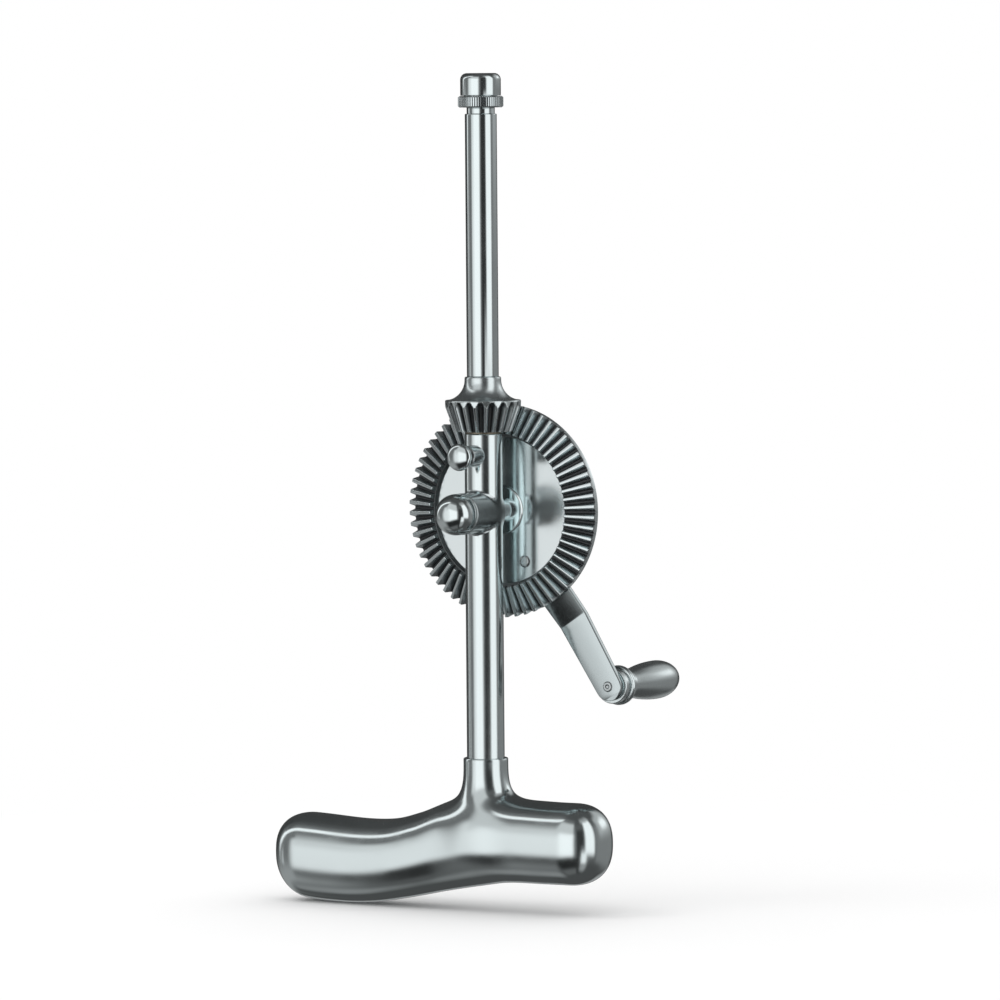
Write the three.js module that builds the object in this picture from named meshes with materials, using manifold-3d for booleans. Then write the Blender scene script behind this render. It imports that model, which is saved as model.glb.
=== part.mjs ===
// Hand drill with an open bevel gear. A T-shaped palm handle carries a straight tube, a crank turns a large
// bevel gear on a cross axle through the tube, and a pinion on the spindle turns three times as fast. A small
// chuck with three jaws sits on top of the long spindle, and a pull knob on the tube lets the spindle out for
// cleaning. Millimetres. Z runs up the spindle axis, the axle runs along Y with the gear on the +Y side, and
// the long lobe of the handle points to -X. The origin is on the spindle axis at the underside of the handle.
import * as THREE from "three";
import { mergeVertices } from "three/addons/utils/BufferGeometryUtils.js";
import Module from "manifold-3d";

// Heights on the spindle axis
const AXLE_Z = 127;
const CATCH_RISE = 19.2; // catch above the axle
const SPINDLE_RISE = 88.8; // spindle's shoulder above the pinion's hub
const CHUCK_RISE = 13.7; // top of the chuck above the shoulder

// Clearances
const FIT = 0.1; // radial gap of a shaft in its hole
const SEAT = 0.3; // gap of a piece that is shaped to a round neighbour
const END_PLAY = 0.1; // gap between faces that turn past each other
const OVERRUN = 2; // how far a cut runs past what it cuts

// Bevel gears
const MODULE = 1.21;
const GEAR_TEETH = 60;
const PINION_TEETH = 20;
const FACE_WIDTH = 10.5;
const BACKLASH = 0.15; // taken off each tooth
const PRESSURE_ANGLE = THREE.MathUtils.degToRad(20);
const GEAR_ADDENDUM = 1;
const GEAR_DEDENDUM = 1.7;
const PINION_ADDENDUM = 0.9;
const PINION_DEDENDUM = 1.5;
const WEB_FRONT_Y = 11.5;
const WEB_THICKNESS = 2.2;
const WEB_RADIUS = 25.2;
const RIM_REAR_Y = 16.2;
const TOOTH_ROOTING = 0.4; // how deep a tooth is sunk into the rim

// Pinion and spindle
const PINION_SETBACK = 1;
const PINION_OUTER_R = 12.4;
const PINION_FACE = 10.56; // height of the toothed part below the flare
const PINION_HUB_R = 6.2;
const FLARE_HEIGHT = 6.9;
const HUB_LAND = 1;
const DOWEL_R = 0.9;
const DOWEL_LENGTH = 5;
const DOWEL_DROP = 2.6; // below the hub's top
const SPINDLE_R = 5.4;
const JOURNAL_R = 3.5;
const JOURNAL_LENGTH = 19.5; // below the pinion
const JOURNAL_CHAMFER = 0.5;
const GROOVE_WIDTH = 2.8;
const GROOVE_R = 2.3;
const WIRE_BORE_R = 1.3;
const WIRE_BORE_DEPTH = 30;

// Frame tube and what is fixed in it
const TUBE_R = 6.4;
const TUBE_WALL = 1.6;
const WASHER_THICKNESS = 0.7;
const WASHER_R = 6.2;
const BOSS_R = 7;
const BOSS_FRONT_Y = -15.6;
const BOSS_REAR_Y = 3.2;
const BUSH_R = 4.35;
const BUSH_REAR_Y = 10.6;
const AXLE_R = 2.5;

// Axle and its cap
const FLANGE_R = 8.6;
const SPIGOT_R = 3.6;
const RING_THICKNESS = 1.1;
const RING_R = 6.9;
const CAP_R = 7;
const CAP_LAND = 0.5;
const CAP_BORE_DEPTH = 4;
const AXLE_HEAD_R = 4.6;
const AXLE_HEAD_HEIGHT = 1.9;

// Crank arm
const ARM_ANGLE = THREE.MathUtils.degToRad(31.7);
const CRANK_RADIUS = 70;
const ARM_THICKNESS = 2.3;
const ARM_HUB_HALF = 6.8;
const ARM_END_HALF = 4.95;
const ARM_BEND_START = 22.6;
const ARM_BEND_END = 44.2;
const ARM_END_Y = 19.3;
const ARM_RIVET_AT = 19.55;
const ARM_RIVET_OFFSET = -1.3; // across the arm
const ARM_RIVET_R = 2.1;
const ARM_RIVET_HEAD_R = 2.7;
const ARM_RIVET_HEAD_HEIGHT = 1.3;

// Crank knob
const PIN_R = 2.4;
const PIN_SHANK_R = 1.8;
const PIN_HEAD_R = 3.1;
const PIN_HEAD_HEIGHT = 1.6;
const KNOB_LENGTH = 42.4;
const KNOB_RING_R = 6;
const KNOB_RING_LENGTH = 2.4;
const KNOB_GROOVE_R = 5.1;
const KNOB_GROOVE_LENGTH = 1.2;
const KNOB_BEAD_R = 6.75;
const KNOB_BEAD_LENGTH = 2.6;
const KNOB_WAIST_R = 4.75;
const KNOB_WAIST_AT = 9.5;
const KNOB_EGG_R = 6.6;
const KNOB_NOSE_LENGTH = 12.4; // from the widest place to the end
const KNOB_PLUG_R = 3.4;
const KNOB_PLUG_LENGTH = 7.9;

// Catch that holds the spindle in the tube
const HOUSING_R = 3.7;
const HOUSING_SHANK_R = 2.9;
const HOUSING_INNER_Y = -3.9;
const HOUSING_OUTER_Y = -12.4;
const HOUSING_WALL = 0.8;
const PLUNGER_R = 1.2;
const PLUNGER_COLLAR_R = 1.85;
const PLUNGER_COLLAR_LENGTH = 1;
const SPRING_BORE_R = 2.1;
const SPRING_WIRE_R = 0.17;
const SPRING_TURNS = 5;
const SPRING_STEPS = 10; // in a turn
const CATCH_NECK_R = 2;
const CATCH_NECK_LENGTH = 2.4;
const CATCH_HEAD_R = 4.6;
const CATCH_RIM = 0.8;
const CATCH_DOME = 1.8;

// Chuck
const NOSE_R = 4.77;
const NOSE_HEIGHT = 5.2;
const NOSE_CHAMFER = 0.9; // height of the chamfer, which has the cone's slope
const CAP_OUTER_R = 6.86;
const CAP_ROUND = 2.2;
const CAP_HEIGHT = 7.6;
const KNURL_R = 7.7;
const KNURL_HEIGHT = 4;
const KNURL_CHAMFER = 0.35;
const SKIRT_R = 5.7;
const SKIRT_LIP_R = 6.2;
const SKIRT_LIP_HEIGHT = 0.8;
const RING_LIP_HEIGHT = 1;
const MOUTH_R = 2.6;
const CHUCK_CONE = THREE.MathUtils.degToRad(30);
const THREAD_PITCH = 0.9;
const RING_TURNS = 2;
const JAWS = 3;
const JAW_FOOT_HEIGHT = 0.8;
const JAW_RECESS = 0.7; // how far the jaw tips lie below the mouth
const JAW_SPARE = 0.08; // gap left between the jaws when they are closed

// Palm handle
const HANDLE_LEFT = 82;
const HANDLE_RIGHT = 47;
const HANDLE_HALF_DEPTH = 12.6;
const HANDLE_WALL = 2.8;
const HANDLE_CAP = 13;
const HANDLE_ROUNDNESS = 2.4;
const COLLAR_R = 7.6;
const COLLAR_TOP_Z = 43.5;
const COLLAR_CHAMFER = 0.4;
const COLLAR_FILLET = 6;
const COLLAR_FOOT_Z = 24;
const COLLAR_SIDE_SPREAD = 2;
const SOCKET_FLOOR_Z = 21;
const SOCKET_LIP = 1.6;
const SOCKET_LIP_HEIGHT = 3;
// Height of the top and the underside at places along the handle, as shares of HANDLE_HEIGHT
const HANDLE_HEIGHT = 30;
const handleTopShares = [
  [-1, 0.74],
  [-0.8, 0.715],
  [-0.58, 0.683],
  [-0.43, 0.707],
  [-0.3, 0.8],
  [-0.16, 0.93],
  [0.2, 0.987],
  [0.62, 0.98],
  [1, 0.985],
];
const handleUnderShares = [
  [-1, -0.16],
  [-0.87, -0.253],
  [-0.68, -0.283],
  [-0.53, -0.263],
  [-0.37, -0.193],
  [-0.18, -0.087],
  [0, 0],
  [0.21, 0.047],
  [0.53, 0.055],
  [1, 0.06],
];

// Facets
const ROUND = 32;
const FINE = 24;
const SMALL = 16;
const WELD = 1e-4;

const TAU = 2 * Math.PI;
const wasm = await Module();
wasm.setup();

// A closed geometry as a manifold solid, with its faces turned outwards.
function solidOf(geometry) {
  const plain = geometry.clone();
  for (const name of ["normal", "uv"]) plain.deleteAttribute(name);
  const merged = mergeVertices(plain, WELD);
  const indices = Uint32Array.from(merged.index.array);
  const build = (triVerts) =>
    new wasm.Manifold(
      new wasm.Mesh({ numProp: 3, vertProperties: merged.attributes.position.array, triVerts }),
    );
  const first = build(indices);
  if (first.volume() > 0) return first;
  for (let i = 0; i < indices.length; i += 3)
    [indices[i + 1], indices[i + 2]] = [indices[i + 2], indices[i + 1]];
  return build(indices);
}

function geometryOf(solid) {
  const mesh = solid.getMesh();
  const step = mesh.numProp;
  const places = new Float32Array(mesh.numVert * 3);
  for (let i = 0; i < mesh.numVert; i++)
    places.set(mesh.vertProperties.subarray(i * step, i * step + 3), i * 3);
  const geometry = new THREE.BufferGeometry();
  geometry.setAttribute("position", new THREE.BufferAttribute(places, 3));
  geometry.setIndex(new THREE.BufferAttribute(Uint32Array.from(mesh.triVerts), 1));
  return geometry;
}

// A turned piece on the Y axis, from [radius, y] points that start and end on the axis or make a loop.
function turnedY(points, facets = ROUND) {
  const profile = points.map(([r, y]) => new THREE.Vector2(r, y));
  return solidOf(new THREE.LatheGeometry(profile, facets));
}

// A turned piece on the Z axis, from [radius, z] points.
function turnedZ(points, facets = ROUND) {
  const profile = points.map(([r, z]) => new THREE.Vector2(r, z));
  return solidOf(new THREE.LatheGeometry(profile, facets).rotateX(Math.PI / 2));
}

function rodPoints(r, from, to) {
  return [
    [0, from],
    [r, from],
    [r, to],
    [0, to],
  ];
}

function ringPoints(inner, outer, from, to) {
  return [
    [inner, from],
    [outer, from],
    [outer, to],
    [inner, to],
    [inner, from],
  ];
}

// Points along a quarter of an ellipse, from angle a to angle b, about a centre.
function arcPoints([cr, cz], [ar, az], a, b, steps) {
  return Array.from({ length: steps + 1 }, (_, i) => {
    const t = a + ((b - a) * i) / steps;
    return [cr + ar * Math.cos(t), cz + az * Math.sin(t)];
  });
}

// A closed solid through rings of points, each ring with as many points as the others.
function loft(rings) {
  const count = rings[0].length;
  const middle = (ring) =>
    ring.reduce((sum, p) => sum.add(p), new THREE.Vector3()).divideScalar(count);
  const places = [...rings.flat(), middle(rings[0]), middle(rings[rings.length - 1])];
  const faces = [];
  const start = rings.length * count;
  for (let i = 0; i < count; i++) {
    const next = (i + 1) % count;
    for (let k = 0; k + 1 < rings.length; k++) {
      const [low, high] = [k * count, (k + 1) * count];
      faces.push(low + i, low + next, high + next, low + i, high + next, high + i);
    }
    const last = (rings.length - 1) * count;
    faces.push(start, next, i, start + 1, last + i, last + next);
  }
  const geometry = new THREE.BufferGeometry().setFromPoints(places);
  geometry.setIndex(faces);
  return solidOf(geometry);
}

function extruded(points, depth) {
  const shape = new THREE.Shape(points.map(([x, y]) => new THREE.Vector2(x, y)));
  return new THREE.ExtrudeGeometry(shape, { depth, bevelEnabled: false, curveSegments: SMALL });
}

const moved = (solid, x, y, z) => solid.translate([x, y, z]);

// Gears. Both are made about the apex, where the two axes meet.
const gearR = (MODULE * GEAR_TEETH) / 2;
const pinionR = (MODULE * PINION_TEETH) / 2;
const coneDistance = Math.hypot(gearR, pinionR);
const innerShare = 1 - FACE_WIDTH / coneDistance;
const cosPinion = gearR / coneDistance;
const sinPinion = pinionR / coneDistance;
const halfTooth = (Math.PI * MODULE) / 4 - BACKLASH / 2;
const webRearY = WEB_FRONT_Y + WEB_THICKNESS;

// Where height h above the gear's pitch cone lies at the big end, as [radius, y].
const gearAt = (h) => [gearR + h * sinPinion, pinionR - h * cosPinion];
// Where height h above the pinion's pitch cone lies at the big end, as [radius, z].
const pinionAt = (h) => [pinionR + h * cosPinion, gearR - h * sinPinion];

function gearTooth(turn) {
  const spread = Math.tan(PRESSURE_ANGLE);
  const corners = [
    [1, -GEAR_DEDENDUM - TOOTH_ROOTING],
    [1, GEAR_ADDENDUM],
    [-1, GEAR_ADDENDUM],
    [-1, -GEAR_DEDENDUM - TOOTH_ROOTING],
  ];
  const end = corners.map(([side, h]) => {
    const u = side * (halfTooth - h * spread);
    const [r, y] = gearAt(h);
    return new THREE.Vector3(u, y, r).applyAxisAngle(new THREE.Vector3(0, 1, 0), turn);
  });
  return loft([end.map((p) => p.clone().multiplyScalar(innerShare)), end]);
}

function gearWheel() {
  const [rootR, rootY] = gearAt(-GEAR_DEDENDUM);
  const inner = [rootR * innerShare, rootY * innerShare];
  const rearStart = WEB_RADIUS - OVERRUN / 2;
  const blank = turnedY(
    [
      [SPIGOT_R + FIT, WEB_FRONT_Y],
      [WEB_RADIUS, WEB_FRONT_Y],
      [inner[0], inner[1]],
      [rootR, rootY],
      [rootR, RIM_REAR_Y],
      [rearStart, webRearY],
      [SPIGOT_R + FIT, webRearY],
      [SPIGOT_R + FIT, WEB_FRONT_Y],
    ],
    GEAR_TEETH,
  );
  // the blank's corners lie under the gaps, and a gap is at the top
  const teeth = Array.from({ length: GEAR_TEETH }, (_, i) =>
    gearTooth(((i + 0.5) * TAU) / GEAR_TEETH),
  );
  const rivetHole = turnedY(rodPoints(ARM_RIVET_R + FIT, -OVERRUN, webRearY + OVERRUN), SMALL)
    .translate([ARM_RIVET_OFFSET, 0, -ARM_RIVET_AT])
    .rotate([0, -THREE.MathUtils.radToDeg(ARM_ANGLE), 0]);
  return wasm.Manifold.union([blank, ...teeth]).subtract(rivetHole);
}

// The gap between two pinion teeth, with involute flanks, as [across, height over the pitch cone].
function pinionGapOutline() {
  const pitch = pinionR / cosPinion;
  const base = pitch * Math.cos(PRESSURE_ANGLE);
  const involute = (a) => Math.tan(a) - a;
  const gapAngle = (rho) => {
    const a = rho > base ? Math.acos(base / rho) : 0;
    return (Math.PI * MODULE) / 2 / pitch - halfTooth / pitch - involute(PRESSURE_ANGLE) + involute(a);
  };
  const tip = pitch + PINION_ADDENDUM;
  const heights = [pitch - PINION_DEDENDUM, base, pitch, tip, tip + MODULE];
  const side = heights.map((rho) => {
    const a = gapAngle(rho);
    return [rho * Math.sin(a), rho * Math.cos(a) - pitch];
  });
  return [...side, ...side.map(([u, h]) => [-u, h]).reverse()];
}

function pinion() {
  const small = gearR * innerShare + PINION_SETBACK;
  const [tipR, tipZ] = pinionAt(PINION_ADDENDUM);
  const flareTop = small + PINION_FACE + FLARE_HEIGHT;
  const hubTop = flareTop + HUB_LAND;
  const bore = JOURNAL_R + FIT;
  const spread = PINION_OUTER_R - PINION_HUB_R;
  const flare = arcPoints(
    [PINION_OUTER_R, flareTop],
    [spread, FLARE_HEIGHT],
    -Math.PI / 2,
    -Math.PI,
    4,
  );
  const blank = turnedZ(
    [
      [bore, small],
      [(small * tipR) / tipZ, small],
      [PINION_OUTER_R, (PINION_OUTER_R * tipZ) / tipR],
      ...flare,
      [PINION_HUB_R, hubTop],
      [bore, hubTop],
      [bore, small],
    ],
    2 * PINION_TEETH,
  );
  const outline = pinionGapOutline();
  const axis = new THREE.Vector3(0, 0, 1);
  const farShare = (flareTop - FLARE_HEIGHT / 2) / gearR;
  const cutters = Array.from({ length: PINION_TEETH }, (_, i) => {
    // a tooth, not a gap, is at +Y
    const turn = ((i + 0.5) * TAU) / PINION_TEETH;
    const end = outline.map(([u, h]) => {
      const [r, z] = pinionAt(h);
      return new THREE.Vector3(-u, r, z).applyAxisAngle(axis, turn);
    });
    const scaled = (share) => end.map((p) => p.clone().multiplyScalar(share));
    return loft([scaled(innerShare * innerShare), scaled(farShare)]);
  });
  const dowelHole = moved(
    turnedY(rodPoints(DOWEL_R + FIT, 0, PINION_HUB_R + OVERRUN), SMALL),
    0,
    0,
    hubTop - DOWEL_DROP,
  );
  return blank.subtract(wasm.Manifold.union(cutters)).subtract(dowelHole);
}

// Heights and places that follow from the sizes above
const catchZ = AXLE_Z + CATCH_RISE;
const pinionBottomZ = AXLE_Z + gearR * innerShare + PINION_SETBACK;
const hubTopZ = pinionBottomZ + PINION_FACE + FLARE_HEIGHT + HUB_LAND;
const spindleTopZ = hubTopZ + SPINDLE_RISE;
const chuckTopZ = spindleTopZ + CHUCK_RISE;
const washerTopZ = pinionBottomZ - END_PLAY;
const tubeTopZ = washerTopZ - WASHER_THICKNESS;
const journalBottomZ = pinionBottomZ - JOURNAL_LENGTH;
const tubeInnerR = TUBE_R - TUBE_WALL;
const noseTopZ = spindleTopZ + NOSE_HEIGHT;
const armRearY = webRearY + ARM_THICKNESS;
const armEndRearY = ARM_END_Y + ARM_THICKNESS;
const flangeFrontY = BUSH_REAR_Y + END_PLAY;
const ringRearY = BOSS_FRONT_Y - END_PLAY;
const ringFrontY = ringRearY - RING_THICKNESS;
const axleTipY = ringFrontY - CAP_BORE_DEPTH + SEAT;

// Palm handle: a hollow casting with a round collar for the tube
function curveThrough(shares) {
  const points = shares.map(
    ([x, z]) =>
      new THREE.Vector3(x * (x < 0 ? HANDLE_LEFT : HANDLE_RIGHT), z * HANDLE_HEIGHT, 0),
  );
  return (x) => {
    let k = 1;
    while (k < points.length - 1 && points[k].x < x) k++;
    const [a, b] = [points[k - 1], points[k]];
    const before = points[Math.max(k - 2, 0)];
    const after = points[Math.min(k + 1, points.length - 1)];
    const t = (x - a.x) / (b.x - a.x);
    const slopeA = ((b.y - before.y) / (b.x - before.x)) * (b.x - a.x);
    const slopeB = ((after.y - a.y) / (after.x - a.x)) * (b.x - a.x);
    const [t2, t3] = [t * t, t * t * t];
    return (
      a.y * (2 * t3 - 3 * t2 + 1) +
      slopeA * (t3 - 2 * t2 + t) +
      b.y * (3 * t2 - 2 * t3) +
      slopeB * (t3 - t2)
    );
  };
}

const topOf = curveThrough(handleTopShares);
const underOf = curveThrough(handleUnderShares);

// A point of a rounded section, whose half height and half depth are h and d.
function sectionPoint(x, middle, h, d, angle) {
  const power = 2 / HANDLE_ROUNDNESS;
  const [c, s] = [Math.cos(angle), Math.sin(angle)];
  return new THREE.Vector3(
    x,
    d * Math.sign(c) * Math.abs(c) ** power,
    middle + h * Math.sign(s) * Math.abs(s) ** power,
  );
}

// The handle's bar, or its hollow when inset is the wall.
function handleBar(inset, stations, facets) {
  const left = -HANDLE_LEFT + inset;
  const right = HANDLE_RIGHT - inset;
  const cap = HANDLE_CAP - inset;
  const places = [];
  const turn = Math.PI / 2;
  for (let i = 1; i <= stations; i++) places.push(left + cap * (1 - Math.cos((turn * i) / stations)));
  const run = right - cap - places[places.length - 1];
  for (let i = 1; i < 2 * stations; i++) places.push(left + cap + (run * i) / (2 * stations));
  for (let i = stations; i >= 1; i--) places.push(right - cap * (1 - Math.cos((turn * i) / stations)));
  const rings = places.map((x) => {
    const away = Math.max(left + cap - x, x - (right - cap), 0) / cap;
    const shrink = (1 - away ** HANDLE_ROUNDNESS) ** (1 / HANDLE_ROUNDNESS);
    const [top, under] = [topOf(x) - inset, underOf(x) + inset];
    return Array.from({ length: facets }, (_, k) =>
      sectionPoint(
        x,
        (top + under) / 2,
        (shrink * (top - under)) / 2,
        shrink * (HANDLE_HALF_DEPTH - inset),
        (k * TAU) / facets,
      ),
    );
  });
  return loft(rings);
}

// The collar, which spreads into the bar with a fillet that is wide along X and narrow along Y.
function handleCollar() {
  const filletTop = arcPoints(
    [COLLAR_R + COLLAR_FILLET, topOf(0) + COLLAR_FILLET],
    [COLLAR_FILLET, COLLAR_FILLET],
    Math.PI,
    1.5 * Math.PI,
    4,
  );
  const levels = [
    [COLLAR_R - COLLAR_CHAMFER, COLLAR_TOP_Z],
    [COLLAR_R, COLLAR_TOP_Z - COLLAR_CHAMFER],
    ...filletTop,
    [COLLAR_R + COLLAR_FILLET, COLLAR_FOOT_Z],
  ];
  const rings = levels.map(([r, z]) => {
    const spread = Math.max(r - COLLAR_R, 0) / COLLAR_FILLET;
    const side = Math.min(r, COLLAR_R) + spread * COLLAR_SIDE_SPREAD;
    return Array.from({ length: ROUND }, (_, k) => {
      const a = (k * TAU) / ROUND;
      const x = r * Math.sin(a);
      return new THREE.Vector3(x, side * Math.cos(a), z - Math.min(spread, 1) * (topOf(0) - topOf(x)));
    });
  });
  return loft(rings);
}

function palmHandle() {
  const socketR = TUBE_R + FIT;
  const lipZ = SOCKET_FLOOR_Z - SOCKET_LIP_HEIGHT;
  const outside = handleBar(0, 5, FINE).add(handleCollar());
  const hollow = handleBar(HANDLE_WALL, 2, SMALL);
  const socketWall = turnedZ(rodPoints(COLLAR_R + SOCKET_LIP, lipZ, COLLAR_FOOT_Z + OVERRUN), ROUND);
  const socket = turnedZ(rodPoints(socketR, SOCKET_FLOOR_Z, COLLAR_TOP_Z + OVERRUN), ROUND);
  const drain = turnedZ(rodPoints(socketR - SOCKET_LIP, lipZ - OVERRUN, COLLAR_TOP_Z), ROUND);
  return outside.subtract(hollow.subtract(socketWall)).subtract(socket).subtract(drain);
}

// Frame tube, with cross holes for the axle bush and the catch
function frameTube() {
  const bottom = SOCKET_FLOOR_Z;
  const tube = turnedZ(ringPoints(tubeInnerR, TUBE_R, bottom, tubeTopZ), ROUND);
  const crossHole = moved(
    turnedY(rodPoints(BUSH_R + FIT, -TUBE_R - OVERRUN, TUBE_R + OVERRUN), FINE),
    0,
    0,
    AXLE_Z,
  );
  const catchHole = moved(
    turnedY(rodPoints(HOUSING_SHANK_R + FIT, -TUBE_R - OVERRUN, 0), SMALL),
    0,
    0,
    catchZ,
  );
  return tube.subtract(crossHole).subtract(catchHole);
}

function spindleBush() {
  const bottom = AXLE_Z + BUSH_R + SEAT + JOURNAL_CHAMFER;
  const sleeve = turnedZ(ringPoints(JOURNAL_R + FIT, tubeInnerR - FIT, bottom, tubeTopZ), ROUND);
  const catchHole = turnedY(rodPoints(HOUSING_SHANK_R + FIT, -TUBE_R - OVERRUN, 0), SMALL);
  return sleeve.subtract(moved(catchHole, 0, 0, catchZ));
}

function axleBoss() {
  const block = turnedY(ringPoints(BUSH_R + FIT, BOSS_R, BOSS_FRONT_Y, BOSS_REAR_Y), ROUND);
  const tube = turnedZ(rodPoints(TUBE_R + SEAT / 2, -BOSS_R - OVERRUN, BOSS_R + OVERRUN), ROUND);
  return block.subtract(tube);
}

// Catch
const shankOuterY = -Math.sqrt(TUBE_R ** 2 - HOUSING_R ** 2) - SEAT;
const springStartY = HOUSING_OUTER_Y + HOUSING_WALL;
const collarFrontY = HOUSING_INNER_Y - HOUSING_WALL - SEAT - PLUNGER_COLLAR_LENGTH;
const catchNeckY = HOUSING_OUTER_Y - SEAT;
const catchHeadY = catchNeckY - CATCH_NECK_LENGTH;
const plungerTipY = -GROOVE_R - FIT;

function catchHousing() {
  const hole = PLUNGER_R + FIT;
  const body = turnedY(
    [
      [hole, HOUSING_INNER_Y],
      [HOUSING_SHANK_R, HOUSING_INNER_Y],
      [HOUSING_SHANK_R, shankOuterY],
      [HOUSING_R, shankOuterY],
      [HOUSING_R, HOUSING_OUTER_Y + HOUSING_WALL / 2],
      [HOUSING_R - HOUSING_WALL / 2, HOUSING_OUTER_Y],
      [hole, HOUSING_OUTER_Y],
      [hole, springStartY],
      [SPRING_BORE_R, springStartY],
      [SPRING_BORE_R, HOUSING_INNER_Y - HOUSING_WALL],
      [hole, HOUSING_INNER_Y - HOUSING_WALL],
      [hole, HOUSING_INNER_Y],
    ],
    SMALL,
  );
  // outside the tube's wall the housing is cut to the tube, and inside it the shank fills the hole
  const tube = turnedZ(rodPoints(TUBE_R + SEAT / 2, -HOUSING_R - OVERRUN, HOUSING_R + OVERRUN), ROUND);
  const shank = turnedY(rodPoints(HOUSING_SHANK_R + FIT / 2, -TUBE_R - OVERRUN, OVERRUN), SMALL);
  return body.subtract(tube.subtract(shank));
}

function plunger() {
  return turnedY(
    [
      [0, plungerTipY],
      [PLUNGER_R - FIT, plungerTipY],
      [PLUNGER_R, plungerTipY - FIT],
      [PLUNGER_R, collarFrontY + PLUNGER_COLLAR_LENGTH],
      [PLUNGER_COLLAR_R, collarFrontY + PLUNGER_COLLAR_LENGTH],
      [PLUNGER_COLLAR_R, collarFrontY],
      [PLUNGER_R, collarFrontY],
      [PLUNGER_R, catchHeadY - CATCH_RIM],
      [0, catchHeadY - CATCH_RIM],
    ],
    SMALL,
  );
}

function catchKnob() {
  const hole = PLUNGER_R + FIT;
  const rimY = catchHeadY - CATCH_RIM;
  const floorY = rimY - SEAT;
  return turnedY(
    [
      [hole, catchNeckY],
      [CATCH_NECK_R, catchNeckY],
      [CATCH_NECK_R, catchHeadY],
      [CATCH_HEAD_R - FIT, catchHeadY],
      ...arcPoints([0, rimY], [CATCH_HEAD_R, -CATCH_DOME], 0, Math.PI / 2, 4).slice(0, -1),
      [0, rimY - CATCH_DOME],
      [0, floorY],
      [hole, floorY],
      [hole, catchNeckY],
    ],
    FINE,
  );
}

class Helix extends THREE.Curve {
  constructor(radius, length, turns) {
    super();
    Object.assign(this, { radius, length, turns });
  }
  getPoint(t, target = new THREE.Vector3()) {
    const a = t * this.turns * TAU;
    return target.set(this.radius * Math.sin(a), t * this.length, this.radius * Math.cos(a));
  }
}

function catchSpring() {
  const inside = SPRING_BORE_R + PLUNGER_R;
  const end = SPRING_WIRE_R + FIT;
  const length = collarFrontY - springStartY - 2 * end;
  const wire = new THREE.Shape().absarc(0, 0, SPRING_WIRE_R, 0, TAU, false);
  const coil = new THREE.ExtrudeGeometry(wire, {
    steps: SPRING_STEPS * SPRING_TURNS,
    curveSegments: 3,
    bevelEnabled: false,
    extrudePath: new Helix(inside / 2, length, SPRING_TURNS),
  });
  return moved(solidOf(coil), 0, springStartY + end, 0);
}

// Axle and what turns with it
function axle() {
  const headY = armRearY + FIT;
  return turnedY(
    [
      [0, axleTipY],
      [AXLE_R, axleTipY],
      [AXLE_R, headY],
      [AXLE_HEAD_R, headY],
      [AXLE_HEAD_R, headY + AXLE_HEAD_HEIGHT / 2],
      [AXLE_HEAD_R - AXLE_HEAD_HEIGHT / 2, headY + AXLE_HEAD_HEIGHT],
      [0, headY + AXLE_HEAD_HEIGHT],
    ],
    FINE,
  );
}

function axleBush() {
  return turnedY(ringPoints(AXLE_R + FIT, BUSH_R, BOSS_FRONT_Y, BUSH_REAR_Y), FINE);
}

function gearHub() {
  const hole = AXLE_R + FIT;
  return turnedY(
    [
      [hole, flangeFrontY],
      [FLANGE_R, flangeFrontY],
      [FLANGE_R, WEB_FRONT_Y],
      [SPIGOT_R, WEB_FRONT_Y],
      [SPIGOT_R, webRearY],
      [hole, webRearY],
      [hole, flangeFrontY],
    ],
    FINE,
  );
}

function axleCap() {
  const hole = AXLE_R + FIT;
  const sphereY = ringFrontY - CAP_LAND;
  const dome = arcPoints([0, sphereY], [CAP_R, -CAP_R], 0, Math.PI / 2, 6);
  return turnedY(
    [
      [hole, ringFrontY],
      [CAP_R, ringFrontY],
      ...dome.slice(0, -1),
      [0, sphereY - CAP_R],
      [0, ringFrontY - CAP_BORE_DEPTH],
      [hole, ringFrontY - CAP_BORE_DEPTH],
      [hole, ringFrontY],
    ],
    ROUND,
  );
}

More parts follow.
